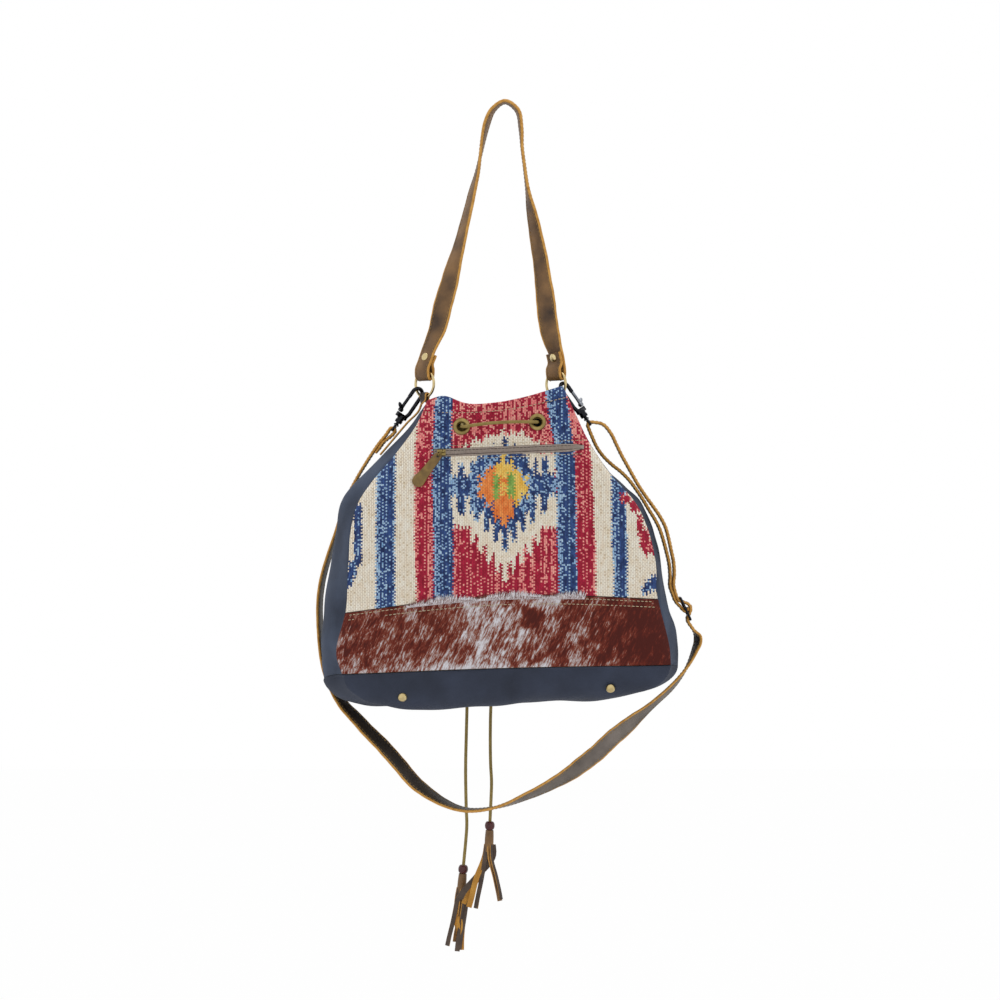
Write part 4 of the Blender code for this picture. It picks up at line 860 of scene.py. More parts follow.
def cloth_sheet(u_range, v_range, columns, rows, raised=0.0, hem=False, relief=None, waves=(),
                closed=False):
    """A panel of the bag as a fine grid with turned-in edges; a closed one runs round the bag."""
    us = np.linspace(*u_range, columns + 1)
    if closed:
        us = us[:-1]
    vs = np.linspace(*v_range, rows + 1)
    edge = CLOTH * EDGE_SHARE
    top = [(vs[0], edge, 0), (vs[0], edge * 0.4, 0)]
    if hem:
        top = [(v, depth * MM, rise * MM) for v, depth, rise in HEM]
    bottom = [] if closed else [(vs[-1], edge * 0.4, 0), (vs[-1], edge, 0)]
    grid = wall_grid(us, top + [(v, -raised, 0) for v in vs] + bottom)
    along = np.roll(grid, -1, 1) - np.roll(grid, 1, 1) if closed else np.gradient(grid, axis=1)
    normals = np.cross(along, np.gradient(grid, axis=0))
    normals /= -np.maximum(np.linalg.norm(normals, axis=2, keepdims=True), 1e-12)
    outer = slice(len(top), len(top) + len(vs))
    fade = np.clip((vs - vs[0]) / FADE_V, 0, 1)[:, None]
    if not closed:
        fade = edge_fade(vs, FADE_V)[:, None] * edge_fade(us, FADE_U)
    lift = creases(grid[outer], waves) * fade
    if relief is not None:
        lift = lift + relief(grid[outer]) * np.minimum(1, fade + 0.25)
    grid[outer] += normals[outer] * lift[..., None]
    if not closed:
        rim = grid[:, :1], grid[:, -1:]
        inward = [TOWARDS_BACK * edge * (1 if r[len(top), 0, 1] < 0 else -1) for r in rim]
        if int(np.floor(u_range[0])) % 2:
            inward = [np.array([-edge, 0, 0]) * (1 if rim[0][len(top), 0, 0] > 0 else -1)] * 2
        grid = np.concatenate([rim[0] + inward[0], grid, rim[1] + inward[1]], axis=1)
    index = np.arange(grid.shape[0] * grid.shape[1]).reshape(grid.shape[:2])
    if closed:
        index = np.concatenate([index, index[:, :1]], axis=1)
    quads = np.stack([index[:-1, :-1], index[:-1, 1:], index[1:, 1:], index[1:, :-1]], axis=-1)
    return grid.reshape(-1, 3), quads.reshape(-1, 4)


def cloth_object(name, points, quads):
    """A smooth open piece of cloth."""
    mesh = bpy.data.meshes.new(name)
    mesh.from_pydata(points.tolist(), [], quads.tolist())
    mesh.shade_smooth()
    return put(name, mesh)


def seen_at(points):
    """Where points show from the front, across and down, in picture units."""
    scale = -CAMERA[1] / (points[..., 1] - CAMERA[1]) / PICTURE_UNIT
    across = PICTURE_MIDDLE + (points[..., 0] - CAMERA[0]) * scale
    down = PICTURE_MIDDLE - (points[..., 2] - CAMERA[2]) * scale
    return across, down


# Stripes: the yarns' mix, and the left and right edge at six heights of the picture
STRIPE_HEIGHTS = (390, 422, 440, 460, 520, 580)
STRIPES = [
    ("blue", (378, 377, 377, 376.5, 376, 376), (396, 396, 396, 396, 395.5, 395.5)),
    ("red", (421, 418, 416, 414, 414.7, 415.4), (436, 434, 433, 432.5, 433, 433.7)),
    ("blue", (436, 434, 433, 432.5, 433, 433.7), (453, 452, 451, 451, 452.6, 453.3)),
    ("field", (453, 452, 451, 451, 452.6, 453.3), (545, 549.5, 554, 555.5, 557, 558.6)),
    ("blue", (545, 549.5, 554, 555.5, 557, 558.6), (566, 570, 573, 575, 576, 577.5)),
    ("red", (566, 570, 573, 575, 576, 577.5), (588, 589, 590, 591, 594.4, 596.5)),
    ("blue", (607, 608, 609, 610, 611.5, 613.5), (622, 623, 624, 625, 626.5, 627.5)),
]
# The middle field lies between these two rows of edges
FIELD_EDGES = STRIPES[3][1:]
# Above this height of the picture the red yarns are mixed in patches, below it in lines
RED_PATCHES_END = 447
ROW_STAGGER = 0.7


def teeth(middle, pitch, count, tip, rise, notch, notch_rise, top):
    """Bars of a stepped, serrated point: long teeth with shorter notches between."""
    bars = [(middle - pitch * 0.3, middle + pitch * 0.3, top, tip)]
    for k in range(1, count + 1):
        for sign in (-1, 1):
            spot = middle + sign * k * pitch
            gap = middle + sign * (k - 0.5) * pitch
            bars.append((spot - pitch * 0.27, spot + pitch * 0.27, top, tip - rise * k))
            bars.append((gap - pitch * 0.26, gap + pitch * 0.26, top, notch - notch_rise * (k - 1)))
    return bars


# Motif bars in the middle field: left, right, top and bottom in picture units
CREAM_BARS = [
    (450, 560, 452, 527), (471, 541, 441.5, 452), (474, 478, 438, 452), (484, 532, 436.5, 452),
    (491, 524, 434.5, 452), (500, 504.5, 428.5, 452), (509, 514, 432, 452), (520, 524, 430, 452),
    (464, 467, 443, 452), (546, 549, 444, 452)] + teeth(505.2, 8.2, 4, 581.5, 9.4, 563, 9, 520)
NAVY_BARS = [
    (477, 529, 455.5, 512), (451, 478, 475.5, 496.5), (529, 556.5, 474, 495),
    (459, 464.5, 464, 480), (470, 476.5, 462.5, 480), (542, 548.7, 458.6, 480), (534, 537, 459, 480),
    (457.5, 465.2, 490, 514.7), (470, 474.4, 490, 513.3), (541, 547.4, 490, 512.6), (532, 536, 490, 512),
    (502, 507.4, 437.5, 452), (493, 496, 444, 452), (512.5, 515.5, 443, 452),
    (484, 523, 449, 458)] + teeth(504.8, 9.2, 3, 550.5, 9.6, 531, 9.5, 505)
PALE_BLUE_BARS = [
    (470, 477.5, 462.5, 512), (483, 500, 449, 461), (487, 494, 449, 468), (551, 557, 474, 495),
    (529, 533, 468, 505), (451, 457, 478, 496), (520, 527, 500, 512), (474, 477, 495, 513)]
ORANGE_BARS = [
    (485.6, 492.6, 467.7, 507.7), (478, 485.6, 475.4, 498.6), (480, 484, 480, 494), (492.6, 495.4, 466, 500),
    (493.3, 513.7, 497, 517), (500.4, 507.4, 516, 525.5), (494, 497, 512, 520), (510.5, 513.5, 512, 519.5)]
YELLOW_BARS = [
    (500.4, 505.2, 451.6, 500), (495.4, 513, 463, 500), (510.8, 513, 458, 470), (513, 515, 470, 500),
    (515, 521.4, 467.7, 507), (521.4, 528.8, 474.7, 497)]
WARM_BAR = (494, 514, 476, 500)
GREEN_BARS = [(493.3, 499, 474, 499.3), (508, 514.4, 474, 496.5)]
NOTCH_BARS = [
    (477, 481.5, 480, 484.5), (477, 480.5, 489, 492), (525.5, 530, 479.5, 485), (526.5, 530, 489.5, 493),
    (485, 488, 467, 471), (486, 489, 503, 509), (518.5, 522, 467, 472), (518, 522, 501, 508),
    (482, 484.5, 474, 478), (522.5, 525, 474, 479), (482, 485, 495, 500), (522, 525, 493, 498)]
# Serrated pieces of the neighbouring motifs at the two side seams
SIDE_BARS = [
    ("navy", (354, 361.5, 504, 566)), ("navy", (348, 357, 562, 578)), ("navy", (345, 353, 572, 586)),
    ("crimson", (620, 630, 494, 503)), ("crimson", (630, 640, 500, 512)), ("crimson", (637, 643, 514, 536)),
    ("crimson", (640, 650, 528, 548)), ("crimson", (645, 655, 540, 553)), ("crimson", (644, 648, 545, 556)),
    ("navy", (650, 660, 575, 590)), ("navy", (645, 652, 580, 592)), ("navy", (642, 648, 585, 594))]


def chance(i, j, seed):
    """A repeatable value from 0 to 1 for each stitch."""
    value = np.sin(i * 12.9898 + j * 78.233 + seed * 37.719) * 43758.5453
    return value - np.floor(value)


def inside(across, down, bar):
    """Which places lie in a bar."""
    left, right, top, bottom = bar
    return (across >= left) & (across <= right) & (down >= top) & (down <= bottom)


def weave_relief(points):
    """Rounded stitches, each column set half a stitch from the next."""
    column = np.floor(points[..., 0] / STITCH_ACROSS)
    across = points[..., 0] / STITCH_ACROSS - column
    up = points[..., 2] / STITCH_DOWN + 0.5 * (column % 2)
    return STITCH_RISE * (np.sin(np.pi * across) * np.sin(np.pi * (up - np.floor(up)))) ** 0.7


def kilim_yarns(centres):
    """The yarn of the stitch at each point."""
    half = STITCH_DOWN / 2
    column = np.floor(centres[..., 0] / STITCH_ACROSS)
    row = np.floor(centres[..., 2] / half)
    middle = centres.copy()
    middle[..., 0] = (column + 0.5) * STITCH_ACROSS
    middle[..., 2] = (row + 0.5) * half
    across, down = seen_at(middle)
    across = across + ROW_STAGGER * (2 * (row % 2) - 1)
    pick = {name: k for k, name in enumerate(YARN_ORDER)}
    dot = (column % 2 == 0) & ((row + column // 2) % 2 == 0)
    toss = chance(column, row, 1)
    streak = chance(column, np.floor(row / 7), 2)
    by_column = chance(column // 2, 0, 3)

    def mixed(pale, dark, dotted, plain=0):
        """A pale yarn over a dark one, with one chance for the dots and one for the rest."""
        return np.where(toss < np.where(dot, dotted, plain), pick[pale], pick[dark])

    cream = mixed("sand", "cream", 0.3)
    yarns = cream
    for mix, left, right in STRIPES:
        low = np.interp(down, STRIPE_HEIGHTS, left)
        high = np.interp(down, STRIPE_HEIGHTS, right)
        share = (across - low) / (high - low)
        if mix == "blue":
            plain = np.where(share < 0.2, 0.55, np.where(share < 0.42, 0.2, 0.03))
            plain = np.where(share > 0.9, 0.25, plain)
            dotted = np.where((share < 0.42) | (column % 4 == 0), 0.85, 0.35)
            chosen = mixed("blue", "navy", dotted, plain)
        else:
            top = down < RED_PATCHES_END
            in_lines = np.where(by_column < 0.26, 0.55, 0.03)
            plain = np.where(top, np.where(streak < 0.48, 0.66, 0.08), in_lines)
            in_lines = np.where(column % 6 != 0, 0.85, 0.15)
            dotted = np.where(top, np.where(streak < 0.5, 0.8, 0.3), in_lines)
            if mix == "red":
                dotted = np.where(share > 0.75, 0.95, dotted)
                plain = np.where((down < 520) & (share < 0.5), plain + 0.2, plain)
            chosen = mixed("coral", "crimson", dotted, plain)
        yarns = np.where((across >= low) & (across < high), chosen, yarns)
    across = across + 0.6 * (chance(0, row, 8) - 0.5)
    down = down + 1.5 * (2 * (column % 2) - 1) + 1.6 * (chance(column, 0, 9) - 0.5)
    low, high = [np.interp(down, STRIPE_HEIGHTS, edge) for edge in FIELD_EDGES]
    field = (across >= low) & (across < high)
    navy = mixed("blue", "navy", 0.42, 0.1)
    pale_blue = mixed("blue", "navy", 0.8, 0.5)
    for bars, chosen in ((CREAM_BARS, cream), (NAVY_BARS, navy), (PALE_BLUE_BARS, pale_blue),
                         (YELLOW_BARS, pick["yellow"]), (ORANGE_BARS, pick["orange"]),
                         (GREEN_BARS, pick["green"]), (NOTCH_BARS, pale_blue)):
        for bar in bars:
            yarns = np.where(field & inside(across, down, bar), chosen, yarns)
    for name, bar in SIDE_BARS:
        chosen = navy if name == "navy" else mixed("coral", "crimson", 0.15, 0.15)
        yarns = np.where(inside(across, down, bar), chosen, yarns)
    warm = field & inside(across, down, WARM_BAR) & (yarns == pick["yellow"])
    return np.where(warm & (toss < 0.45), pick["orange"], yarns).astype(np.int32)


def cut_out(points, quads, in_hole):
    """The quads whose middle is outside a hole, and the points on the hole's edge."""
    gone = in_hole(points[quads].mean(axis=1))
    kept = quads[~gone]
    return kept, np.intersect1d(quads[gone], kept)


def zip_opening(along, half):
    """Half height of the zip's window, which narrows towards its closed end."""
    share = np.clip((along / half - ZIP_TAPER_FROM) / (1 - ZIP_TAPER_FROM), 0, 1)
    return ZIP_WINDOW_HEIGHT / 2 - ZIP_TAPER * share ** 2


def eyelet_hole(x, z, side):
    """A test of which places lie in an eyelet's hole."""
    spot, normal = panel_point(x, z, side), panel_normal(x, z, side)

    def in_hole(places):
        offset = places - spot
        away = np.linalg.norm(offset - np.outer(offset @ normal, normal), axis=1)
        return (away < EYELET_HOLE) & (np.abs(offset @ normal) < 12 * MM)

    return in_hole


def kilim_panel():
    """The woven front, with the zip's window and the front eyelets' holes."""
    points, quads = cloth_sheet((SEAM_GAP, 1 - SEAM_GAP), (0, HIDE_TOP_LEVEL - SEAM_GAP), *KILIM_GRID,
                                hem=True, relief=weave_relief, waves=KILIM_WAVES)
    fade = np.clip((points[:, 2] - MOUTH_HUMP_FOOT) / MOUTH_HUMP_REACH, 0, 1)
    hump = np.exp(-((points[:, 0] - MOUTH_HUMP_X) / MOUTH_HUMP_WIDTH) ** 2)
    points[:, 2] += MOUTH_HUMP * hump * fade ** 2 * (3 - 2 * fade)
    middle, length, axes = zip_frame()
    half = length / 2

    def local(places):
        return (places - middle) @ axes.T

    def in_window(places):
        near = local(places)
        along, inwards, up = np.abs(near).T
        return (along < half) & (up < zip_opening(near[:, 0], half)) & (inwards < ZIP_NEAR)

    def turn_in(shell):
        """Turn the window's edge into the bag."""
        reach = np.array([half + 1e-5, ZIP_NEAR, ZIP_WINDOW_HEIGHT / 2 + 1e-5])
        rim = []
        for edge in shell.edges:
            near = np.abs(local(np.array([v.co for v in edge.verts]))) if edge.is_boundary else None
            if near is not None and np.all(near <= reach):
                rim.append(edge)
        for part in bmesh.ops.extrude_edge_only(shell, edges=rim)["geom"]:
            if isinstance(part, bmesh.types.BMVert):
                part.co = np.array(part.co) + axes[1] * ZIP_LIP

    quads, edge = cut_out(points, quads, in_window)
    near = local(points[edge])
    tall = zip_opening(near[:, 0], half)
    ends = np.abs(np.abs(near[:, 0]) - half) < np.abs(np.abs(near[:, 2]) - tall)
    near[:, 0] = np.where(ends, np.sign(near[:, 0]) * half, near[:, 0])
    near[:, 2] = np.where(ends, near[:, 2], np.sign(near[:, 2]) * tall)
    points[edge] = middle + near @ axes
    for x, z, side in EYELETS.values():
        if side < 0:
            quads = cut_out(points, quads, eyelet_hole(x, z, side))[0]
    piece = cloth_object("kilim_front", points, quads)
    for name in YARN_ORDER:
        piece.data.materials.append(YARNS[name])
    piece.data.polygons.foreach_set("material_index", kilim_yarns(points[quads].mean(axis=1)))
    reshape(piece.data, turn_in)
    return take(piece, None, "bag", "kilim_front_panel")


def hide_band():
    """The hair-on hide, with how pale its coat is at each point."""
    points, quads = cloth_sheet((SEAM_GAP, 1 - SEAM_GAP), (HIDE_TOP_LEVEL + SEAM_GAP, 1 - SEAM_GAP),
                                *HIDE_GRID, raised=HAIR, waves=HIDE_WAVES)
    piece = cloth_object("hide_front", points, quads)
    across, down = seen_at(points)
    pale = np.interp(across, *PALE_ACROSS) + np.interp(down, *PALE_DOWN)
    spot = np.hypot(across - DARK_SPOT[0], down - DARK_SPOT[1]) / DARK_SPOT_SIZE
    pale = pale - 0.3 * np.clip(1.6 - spot, 0, 1)
    layer = piece.data.attributes.new("pale", "FLOAT", "POINT")
    layer.data.foreach_set("value", pale.astype(np.float32))
    return take(piece, HIDE, "bag", "hide_front_panel")


def hair_fringe():
    """Short hairs of the hide that lie over its upper seam."""
    for name, finish, count, seed in (("hide_hairs_white", WHITE_HAIR, 760, 5),
                                      ("hide_hairs_brown", BROWN_HAIR, 420, 6)):
        order = np.arange(count)
        us = FRINGE_START + FRINGE_SPAN * (order + chance(order, 0, seed)) / count
        root = wall_grid(us, [(HIDE_TOP_LEVEL + 0.012, -1.2 * MM, 0)])[0]
        above = wall_grid(us, [(HIDE_TOP_LEVEL - 0.028, -2.0 * MM, 0)])[0]
        tufts = (0.5 + 0.5 * np.sin(us * 29 + seed)) ** 0.5
        length = (0.3 + 0.7 * chance(order, 1, seed) * tufts)[:, None]
        lean = np.zeros((count, 3))
        lean[:, 0] = (chance(order, 2, seed) - 0.15) * FRINGE_LEAN
        middle = root + (above - root) * length * 0.55 + lean * 0.4 - TOWARDS_BACK * 0.7 * MM
        tip = root + (above - root) * length + lean
        corners = [np.array([math.cos(a), math.sin(a), 0]) * FRINGE_RADIUS for a in (0.3, 2.4, 4.5)]
        foot = [root + c for c in corners]
        waist = [middle + 0.8 * c for c in corners]
        points = np.stack([*foot, *waist, tip], axis=1)
        faces = []
        for a in range(0, 7 * count, 7):
            faces += [(a, a + 2, a + 1), (a + 3, a + 4, a + 6), (a + 4, a + 5, a + 6), (a + 5, a + 3, a + 6)]
            faces += [(a + i, a + (i + 1) % 3, a + 3 + (i + 1) % 3, a + 3 + i) for i in range(3)]
        take(mesh_object(name, points.reshape(-1, 3), faces, finish), finish)


def canvas_panels():
    """The back, the two gussets and the base."""
    for name, node, side, columns, finish in (
            ("canvas_back", "canvas_back_panel", 2, 150, CANVAS),
            # The gussets take the lighter canvas copy: painted highlight
            ("gusset_right", "canvas_gusset_right", 1, 60, LIT_CANVAS),
            ("gusset_left", "canvas_gusset_left", 3, 60, LIT_CANVAS)):
        points, quads = cloth_sheet((side + SEAM_GAP, side + 1 - SEAM_GAP), (0, 1), columns, 150,
                                    hem=True, waves=CANVAS_WAVES)
        take(cloth_object(name, points, quads), finish, "bag", node)
    columns = 400
    points, quads = cloth_sheet((0, 4), (1.004, 1.95), columns, 60, waves=CANVAS_WAVES, closed=True)
    pole = len(points)
    points = np.concatenate([points, wall_grid(np.array([0.5]), [(2.0, 0, 0)])[0]])

    def close_middle(shell):
        """Close the base's middle with a fan of faces."""
        shell.verts.ensure_lookup_table()
        last = [shell.verts[pole - columns + j] for j in range(columns)]
        for j in range(columns):
            shell.faces.new([last[j], last[(j + 1) % columns], shell.verts[pole]])

    base = cloth_object("base", points, quads)
    reshape(base.data, close_middle)
    base.data.shade_smooth()
    # The base takes the darker canvas copy: painted shade under the bag
    take(base, CANVAS, "bag", "canvas_base")


def join(name, *pieces):
    """Several closed forms as one piece."""
    whole = bmesh.new()
    for piece in pieces:
        whole.from_mesh(piece.data)
    mesh = bpy.data.meshes.new(name)
    whole.to_mesh(mesh)
    whole.free()
    for piece in pieces:
        bpy.data.objects.remove(piece)
    mesh.materials.append(LEATHER)
    return smooth(put(name, mesh), 50)


def dense(points, across, spacing):
    """Even stations on a smooth curve, with the strap's width direction at each."""
    both = np.hstack([np.asarray(points, float), np.asarray(across, float)])
    stations = smooth_path(both, spacing, 5000)
    return stations[:, :3], np.array([unit(w) for w in stations[:, 3:]])


def paint_sides(piece, numbers):
    """Give each side of a lofted section its material number, and both ends the raw edge's."""
    around = np.repeat(numbers, 2)
    index = np.tile(around, len(piece.data.polygons) // len(around))
    piece.data.polygons.foreach_set("material_index", np.append(index, (1, 1)).astype(np.int32))


def strap(name, points, across, width, thickness, spacing=2.6 * MM, waviness=0.25 * MM,
          numbers=(1, 0, 0, 1, 1, 1, 0, 0, 1, 1)):
    """A leather strap: rounded corners, a slightly full face and a little play in its edges.
    The numbers say which material is on each side of its section."""
    path, wide = dense(points, across, spacing)
    w, t, r, b = width / 2, thickness / 2, 0.28 * thickness, 0.5 * thickness
    section = [(-w, -t + r), (-w + b, -t), (0, -t * 1.06), (w - b, -t), (w, -t + r),
               (w, t - r), (w - b, t), (0, t * 1.06), (-w + b, t), (-w, t - r)]
    order = np.arange(len(path))
    sway = waviness * (np.sin(order * 0.37) + 0.5 * np.sin(order * 0.91 + 1))
    rings = np.array(sweep_rings(path, wide, section)) + (wide * sway[:, None])[:, None]
    piece = loft(name, rings, LEATHER)
    paint_sides(piece, numbers)
    return smooth(piece, 42), path, wide


def units(vectors):
    """The direction of each vector in a row."""
    return vectors / np.linalg.norm(vectors, axis=1, keepdims=True)


def stitches(name, path, wide, width, thickness, inset=0.0, pitch=PANEL_PITCH, faces=(-1,),
             thread=THREAD_RADIUS):
    """Rows of thread on the given faces, inset from both edges of a strap."""
    run = run_along(path)
    stops = np.arange(pitch, run[-1] - pitch, pitch)
    centre, ahead, side = [
        np.array([np.interp(places, run, column) for column in source.T]).T
        for places, source in ((stops, path), (stops + 0.5 * MM, path), (stops, wide))]
    tangent = units(ahead - centre)
    normal = units(np.cross(tangent, side))
    points, quads = [], []
    for face in faces:
        for edge in (-1, 1):
            base = centre + side * edge * (width / 2 - inset)
            base = base + normal * face * (thickness / 2 + 0.05 * MM)
            for place, t, n, s in zip(base, tangent, normal * face, side):
                start = len(points)
                for along, reach in ((-0.36, 0.25), (-0.2, 1.0), (0.2, 1.0), (0.36, 0.25)):
                    for a, b in ((-1, -0.6), (1, -0.6), (0.6, 0.9), (-0.6, 0.9)):
                        points.append(place + t * along * pitch + (s * a + n * b) * thread * reach)
                for ring in (start, start + 4, start + 8):
                    for k in range(4):
                        a, b = ring + k, ring + (k + 1) % 4
                        quads.append((a, b, b + 4, a + 4))
                quads += [tuple(range(start, start + 4)), tuple(range(start + 12, start + 16))]
    return smooth(mesh_object(name, points, quads, THREAD), 60)


def strap_stitches(name, path, wide, width, thickness):
    """Tan thread along both faces of a strap."""
    take(stitches(name, path, wide, width, thickness, STRAP_INSET, STRAP_PITCH, (-1, 1), STRAP_THREAD),
         TAN_THREAD)


def lace_curve(name, points):
    """A round lace through the points."""
    curve = bpy.data.curves.new(name, "CURVE")
    curve.dimensions = "3D"
    curve.bevel_depth = LACE_RADIUS
    curve.bevel_resolution = 4
    curve.use_fill_caps = True
    spline = curve.splines.new("POLY")
    spline.points.add(len(points) - 1)
    for spot, place in zip(spline.points, points):
        spot.co = (*place, 1)
    spline.use_smooth = True
    return put(name, curve)


def laces():
    """The lace's held stretch, and its two free ends with their beads and tassels."""
    held = smooth_path(LACE_HELD_ROUTE, 3.5 * MM)
    piece = take(lace_curve("lace_held", held), OLIVE_LACE, "bag", "drawcord")
    for side, route, centre, direction, tips in (
            ("left", LACE_LEFT_ROUTE, BEAD_LEFT, LACE_END_LEFT, TASSEL_LEFT_TIPS),
            ("right", LACE_RIGHT_ROUTE, BEAD_RIGHT, LACE_END_RIGHT, TASSEL_RIGHT_TIPS)):
        axis = unit(direction)
        head = centre + axis * (BEAD_HALF_LENGTH + TASSEL_GAP)
        bead = round_bead("wood_bead_" + side, centre, axis)
        take(bead, WOOD, "bead_" + side, "bead_" + side)
        tassel = leather_tassel("leather_tassel_" + side, head, axis, tips)
        finish = [LEATHER, RAW_EDGE, OCHRE_LEATHER, TASSEL_LEATHER]
        take(tassel, finish, "bag", "tassel_" + side)
        points = smooth_path(np.array(tail_points(route, centre, axis)), 4 * MM)
        tail = lace_curve("lace_tail_" + side, points)
        take(tail, OLIVE_LACE, "bag", "drawcord_tail_" + side)


def round_bead(name, centre, axis):
    """A barrel bead with soft shoulders round its bore."""
    bore = LACE_RADIUS + 0.35 * MM
    edge = math.radians(62)
    turns = [edge * (k / 8 - 1) for k in range(17)]
    barrel = [(BEAD_RADIUS * math.cos(t) ** 0.55, BEAD_HALF_LENGTH * math.sin(t) / math.sin(edge))
              for t in turns]
    shoulder = BEAD_HALF_LENGTH * 0.9
    profile = [(bore, -shoulder), *barrel, (bore, shoulder)]
    return turned(name, profile, centre, axis, 40, WOOD, ring=True)


def strip_of(name, route, across, width, thickness, face, back):
    """One cut strip with raw edges; face and back are material numbers."""
    path, wide = dense(route, across, 4 * MM)
    w, t = width / 2, thickness / 2
    section = [(-w, -t), (w, -t), (w, t), (-w, t)]
    piece = loft(name, sweep_rings(path, wide, section), LEATHER)
    paint_sides(piece, (face, 1, back, 1))
    return piece


def leather_tassel(name, top, axis, tips):
    """A strip of leather rolled into a head, cut into strips below it."""
    side = unit(np.cross(axis, TOWARDS_BACK))
    back = np.cross(side, axis)
    shares = [k / 26 for k in range(27)]
    outline = [(TASSEL_HEAD_RADIUS * (0.86 + 0.16 * s), 2 * math.pi * 1.08 * s + 2.2) for s in shares]
    inner = [(r - TASSEL_LEATHER_THICKNESS, t) for r, t in reversed(outline)]
    rings = []
    for share in [k / 12 for k in range(13)]:
        grow = 0.94 + 0.1 * math.sin(math.pi * share) + 0.03 * share
        centre = top + axis * TASSEL_HEAD_LENGTH * 1.1 * share
        rings.append([centre + grow * r * (side * math.cos(t) + back * math.sin(t))
                      for r, t in outline + inner])
    strips = [loft("roll", rings, LEATHER)]
    for k, tip in enumerate(tips):
        turn = 2 * math.pi * k / len(tips)
        out = np.array([math.cos(turn), math.sin(turn), 0])
        start = top + axis * (TASSEL_HEAD_LENGTH - 6 * MM) + out * 2.9 * MM
        end = top + tip * 0.965
        bow = np.array([0.6 * math.sin(2.3 * k), math.cos(1.7 * k), 0]) * 2.5 * MM
        halfway = (start + axis * 12 * MM + end) / 2 + out * 1.2 * MM + bow
        route = [start, start + axis * 10 * MM + out * 1.2 * MM, halfway, end * 0.86 + start * 0.14, end]
        sideways = np.array([1, 0.5 * math.sin(2 * k), 0])
        across = [unit(sideways + 0.35 * math.sin(k + j) * out) for j in range(5)]
        face, reverse = TASSEL_FACES[k]
        strips.append(strip_of("strip", route, across, TASSEL_STRIP_WIDTHS[k] * MM,
                               TASSEL_STRIP_THICKNESS, face, reverse))
        if k % 2 == 0:
            shift = out * 1.7 * MM + sideways * 1.4 * MM
            shorter = [p + shift for p in route[:-1]] + [end * 0.97 + start * 0.03 + shift]
            strips.append(strip_of("strip", shorter, across, 3.4 * MM, 1.3 * MM, reverse, face))
    return join(name, *strips)


def handle():
    """One strap from ring to ring, each end folded round its ring and riveted."""
    degrees = math.degrees(RING_TURN)
    bend = RING_WIRE + 2 * SEAT + HANDLE_THICKNESS / 2
    touching = HANDLE_THICKNESS + 0.8 * MM
    ring_across = turned_across(degrees)
    ring_normal = np.cross(UP, ring_across)
    folds = [ring + UP * HANDLE_FOLD_RISE for ring in (RING_LEFT, RING_RIGHT)]
    feet = [folds[0] - bend * ring_normal, folds[1] + bend * ring_normal]
    tops = [foot + UP * HANDLE_LEG for foot in feet]
    route = np.array([(*tops[0] / MM, degrees), *HANDLE_ROUTE, (*tops[1] / MM, degrees)])
    path = smooth_path(route, 6)
    line = [feet[0], *[p[:3] * MM for p in path], feet[1]]
    across = [ring_across, *[turned_across(p[3]) for p in path], ring_across]
    ends = []
    for side, centre, step in (("left", folds[0], 1), ("right", folds[1], -1)):
        main, wide = line[::step], across[::step]
        flap = fold_back(main, wide, centre, touching, HANDLE_FLAP, HANDLE_LEG)
        towards = unit(flap[-1][0] - centre)
        fold = [(p, ring_across) for p in arc(centre, towards, -UP, bend, 18, 162, 8)]
        ends.append(flap + fold)
        rivet("handle_rivet_" + side, main, wide, centre, touching)
    whole = ends[0] + list(zip(line, across)) + ends[1][::-1]
    piece, path, wide = strap("handle_leather", [p for p, _ in whole], [w for _, w in whole],
                              HANDLE_WIDTH, HANDLE_THICKNESS)
    take(piece, [LEATHER, RAW_EDGE], "bag", "handle_strap")
    strap_stitches("handle_stitches", path, wide, HANDLE_WIDTH, HANDLE_THICKNESS)


def rivet(node, line, wide, fold_centre, touching):
    """A domed rivet through a strap and its folded end."""
    run = run_along(line)
    i = int(np.argmax(run >= RIVET_HEIGHT_ON_FLAP))
    share = (RIVET_HEIGHT_ON_FLAP - run[i - 1]) / (run[i] - run[i - 1])
    spot = line[i - 1] * (1 - share) + line[i] * share
    axis = unit(np.cross(line[i] - line[i - 1], wide[i]))
    first = np.cross(line[1] - line[0], wide[0])
    axis = axis if np.dot(first, fold_centre - line[0]) > 0 else -axis
    centre = spot + axis * touching / 2
    grip = (touching + HANDLE_THICKNESS) / 2 + 0.1 * MM
    turns = [math.radians(a) for a in range(0, 91, 10)]
    front = [(RIVET_CAP * math.sin(t), grip + 0.5 * MM + 1.5 * MM * math.cos(t)) for t in turns]
    back = [(r, -h) for r, h in reversed(front)]
    profile = [*front, (RIVET_CAP, grip), (RIVET_SHANK, grip), (RIVET_SHANK, -grip),
               (RIVET_CAP, -grip), *back]
    dome = turned(node + "_dome", profile, centre, axis, 40, PALE_BRASS)
    take(dome, PALE_BRASS, "bag", node)


def rod(name, path, across, radius, sides, closed=False):
    """A round bar along a path."""
    return loft(name, sweep_rings(path, across, circle(radius, sides), closed), BRASS, closed)


def wire_loop(name, path, across, radius, sides=14, closed=True):
    """A smooth wire, closed unless said otherwise."""
    return smooth(rod(name, path, across, radius, sides, closed), 60)


def rings():
    """The handle's rings with their leather tabs."""
    flat = turned_across(math.degrees(RING_TURN))
    for name, centre, u, side in (("left", RING_LEFT, 3.5, -1), ("right", RING_RIGHT, 1.5, 1)):
        path = arc(centre, flat, UP, RING_RADIUS, 0, 360, 72)[:-1]
        ring = wire_loop("strap_ring_" + name, path, np.cross(UP, flat), RING_WIRE)
        take(ring, PALE_BRASS, "bag", "ring_" + name)
        ring_tab(name, centre, u, side, flat)


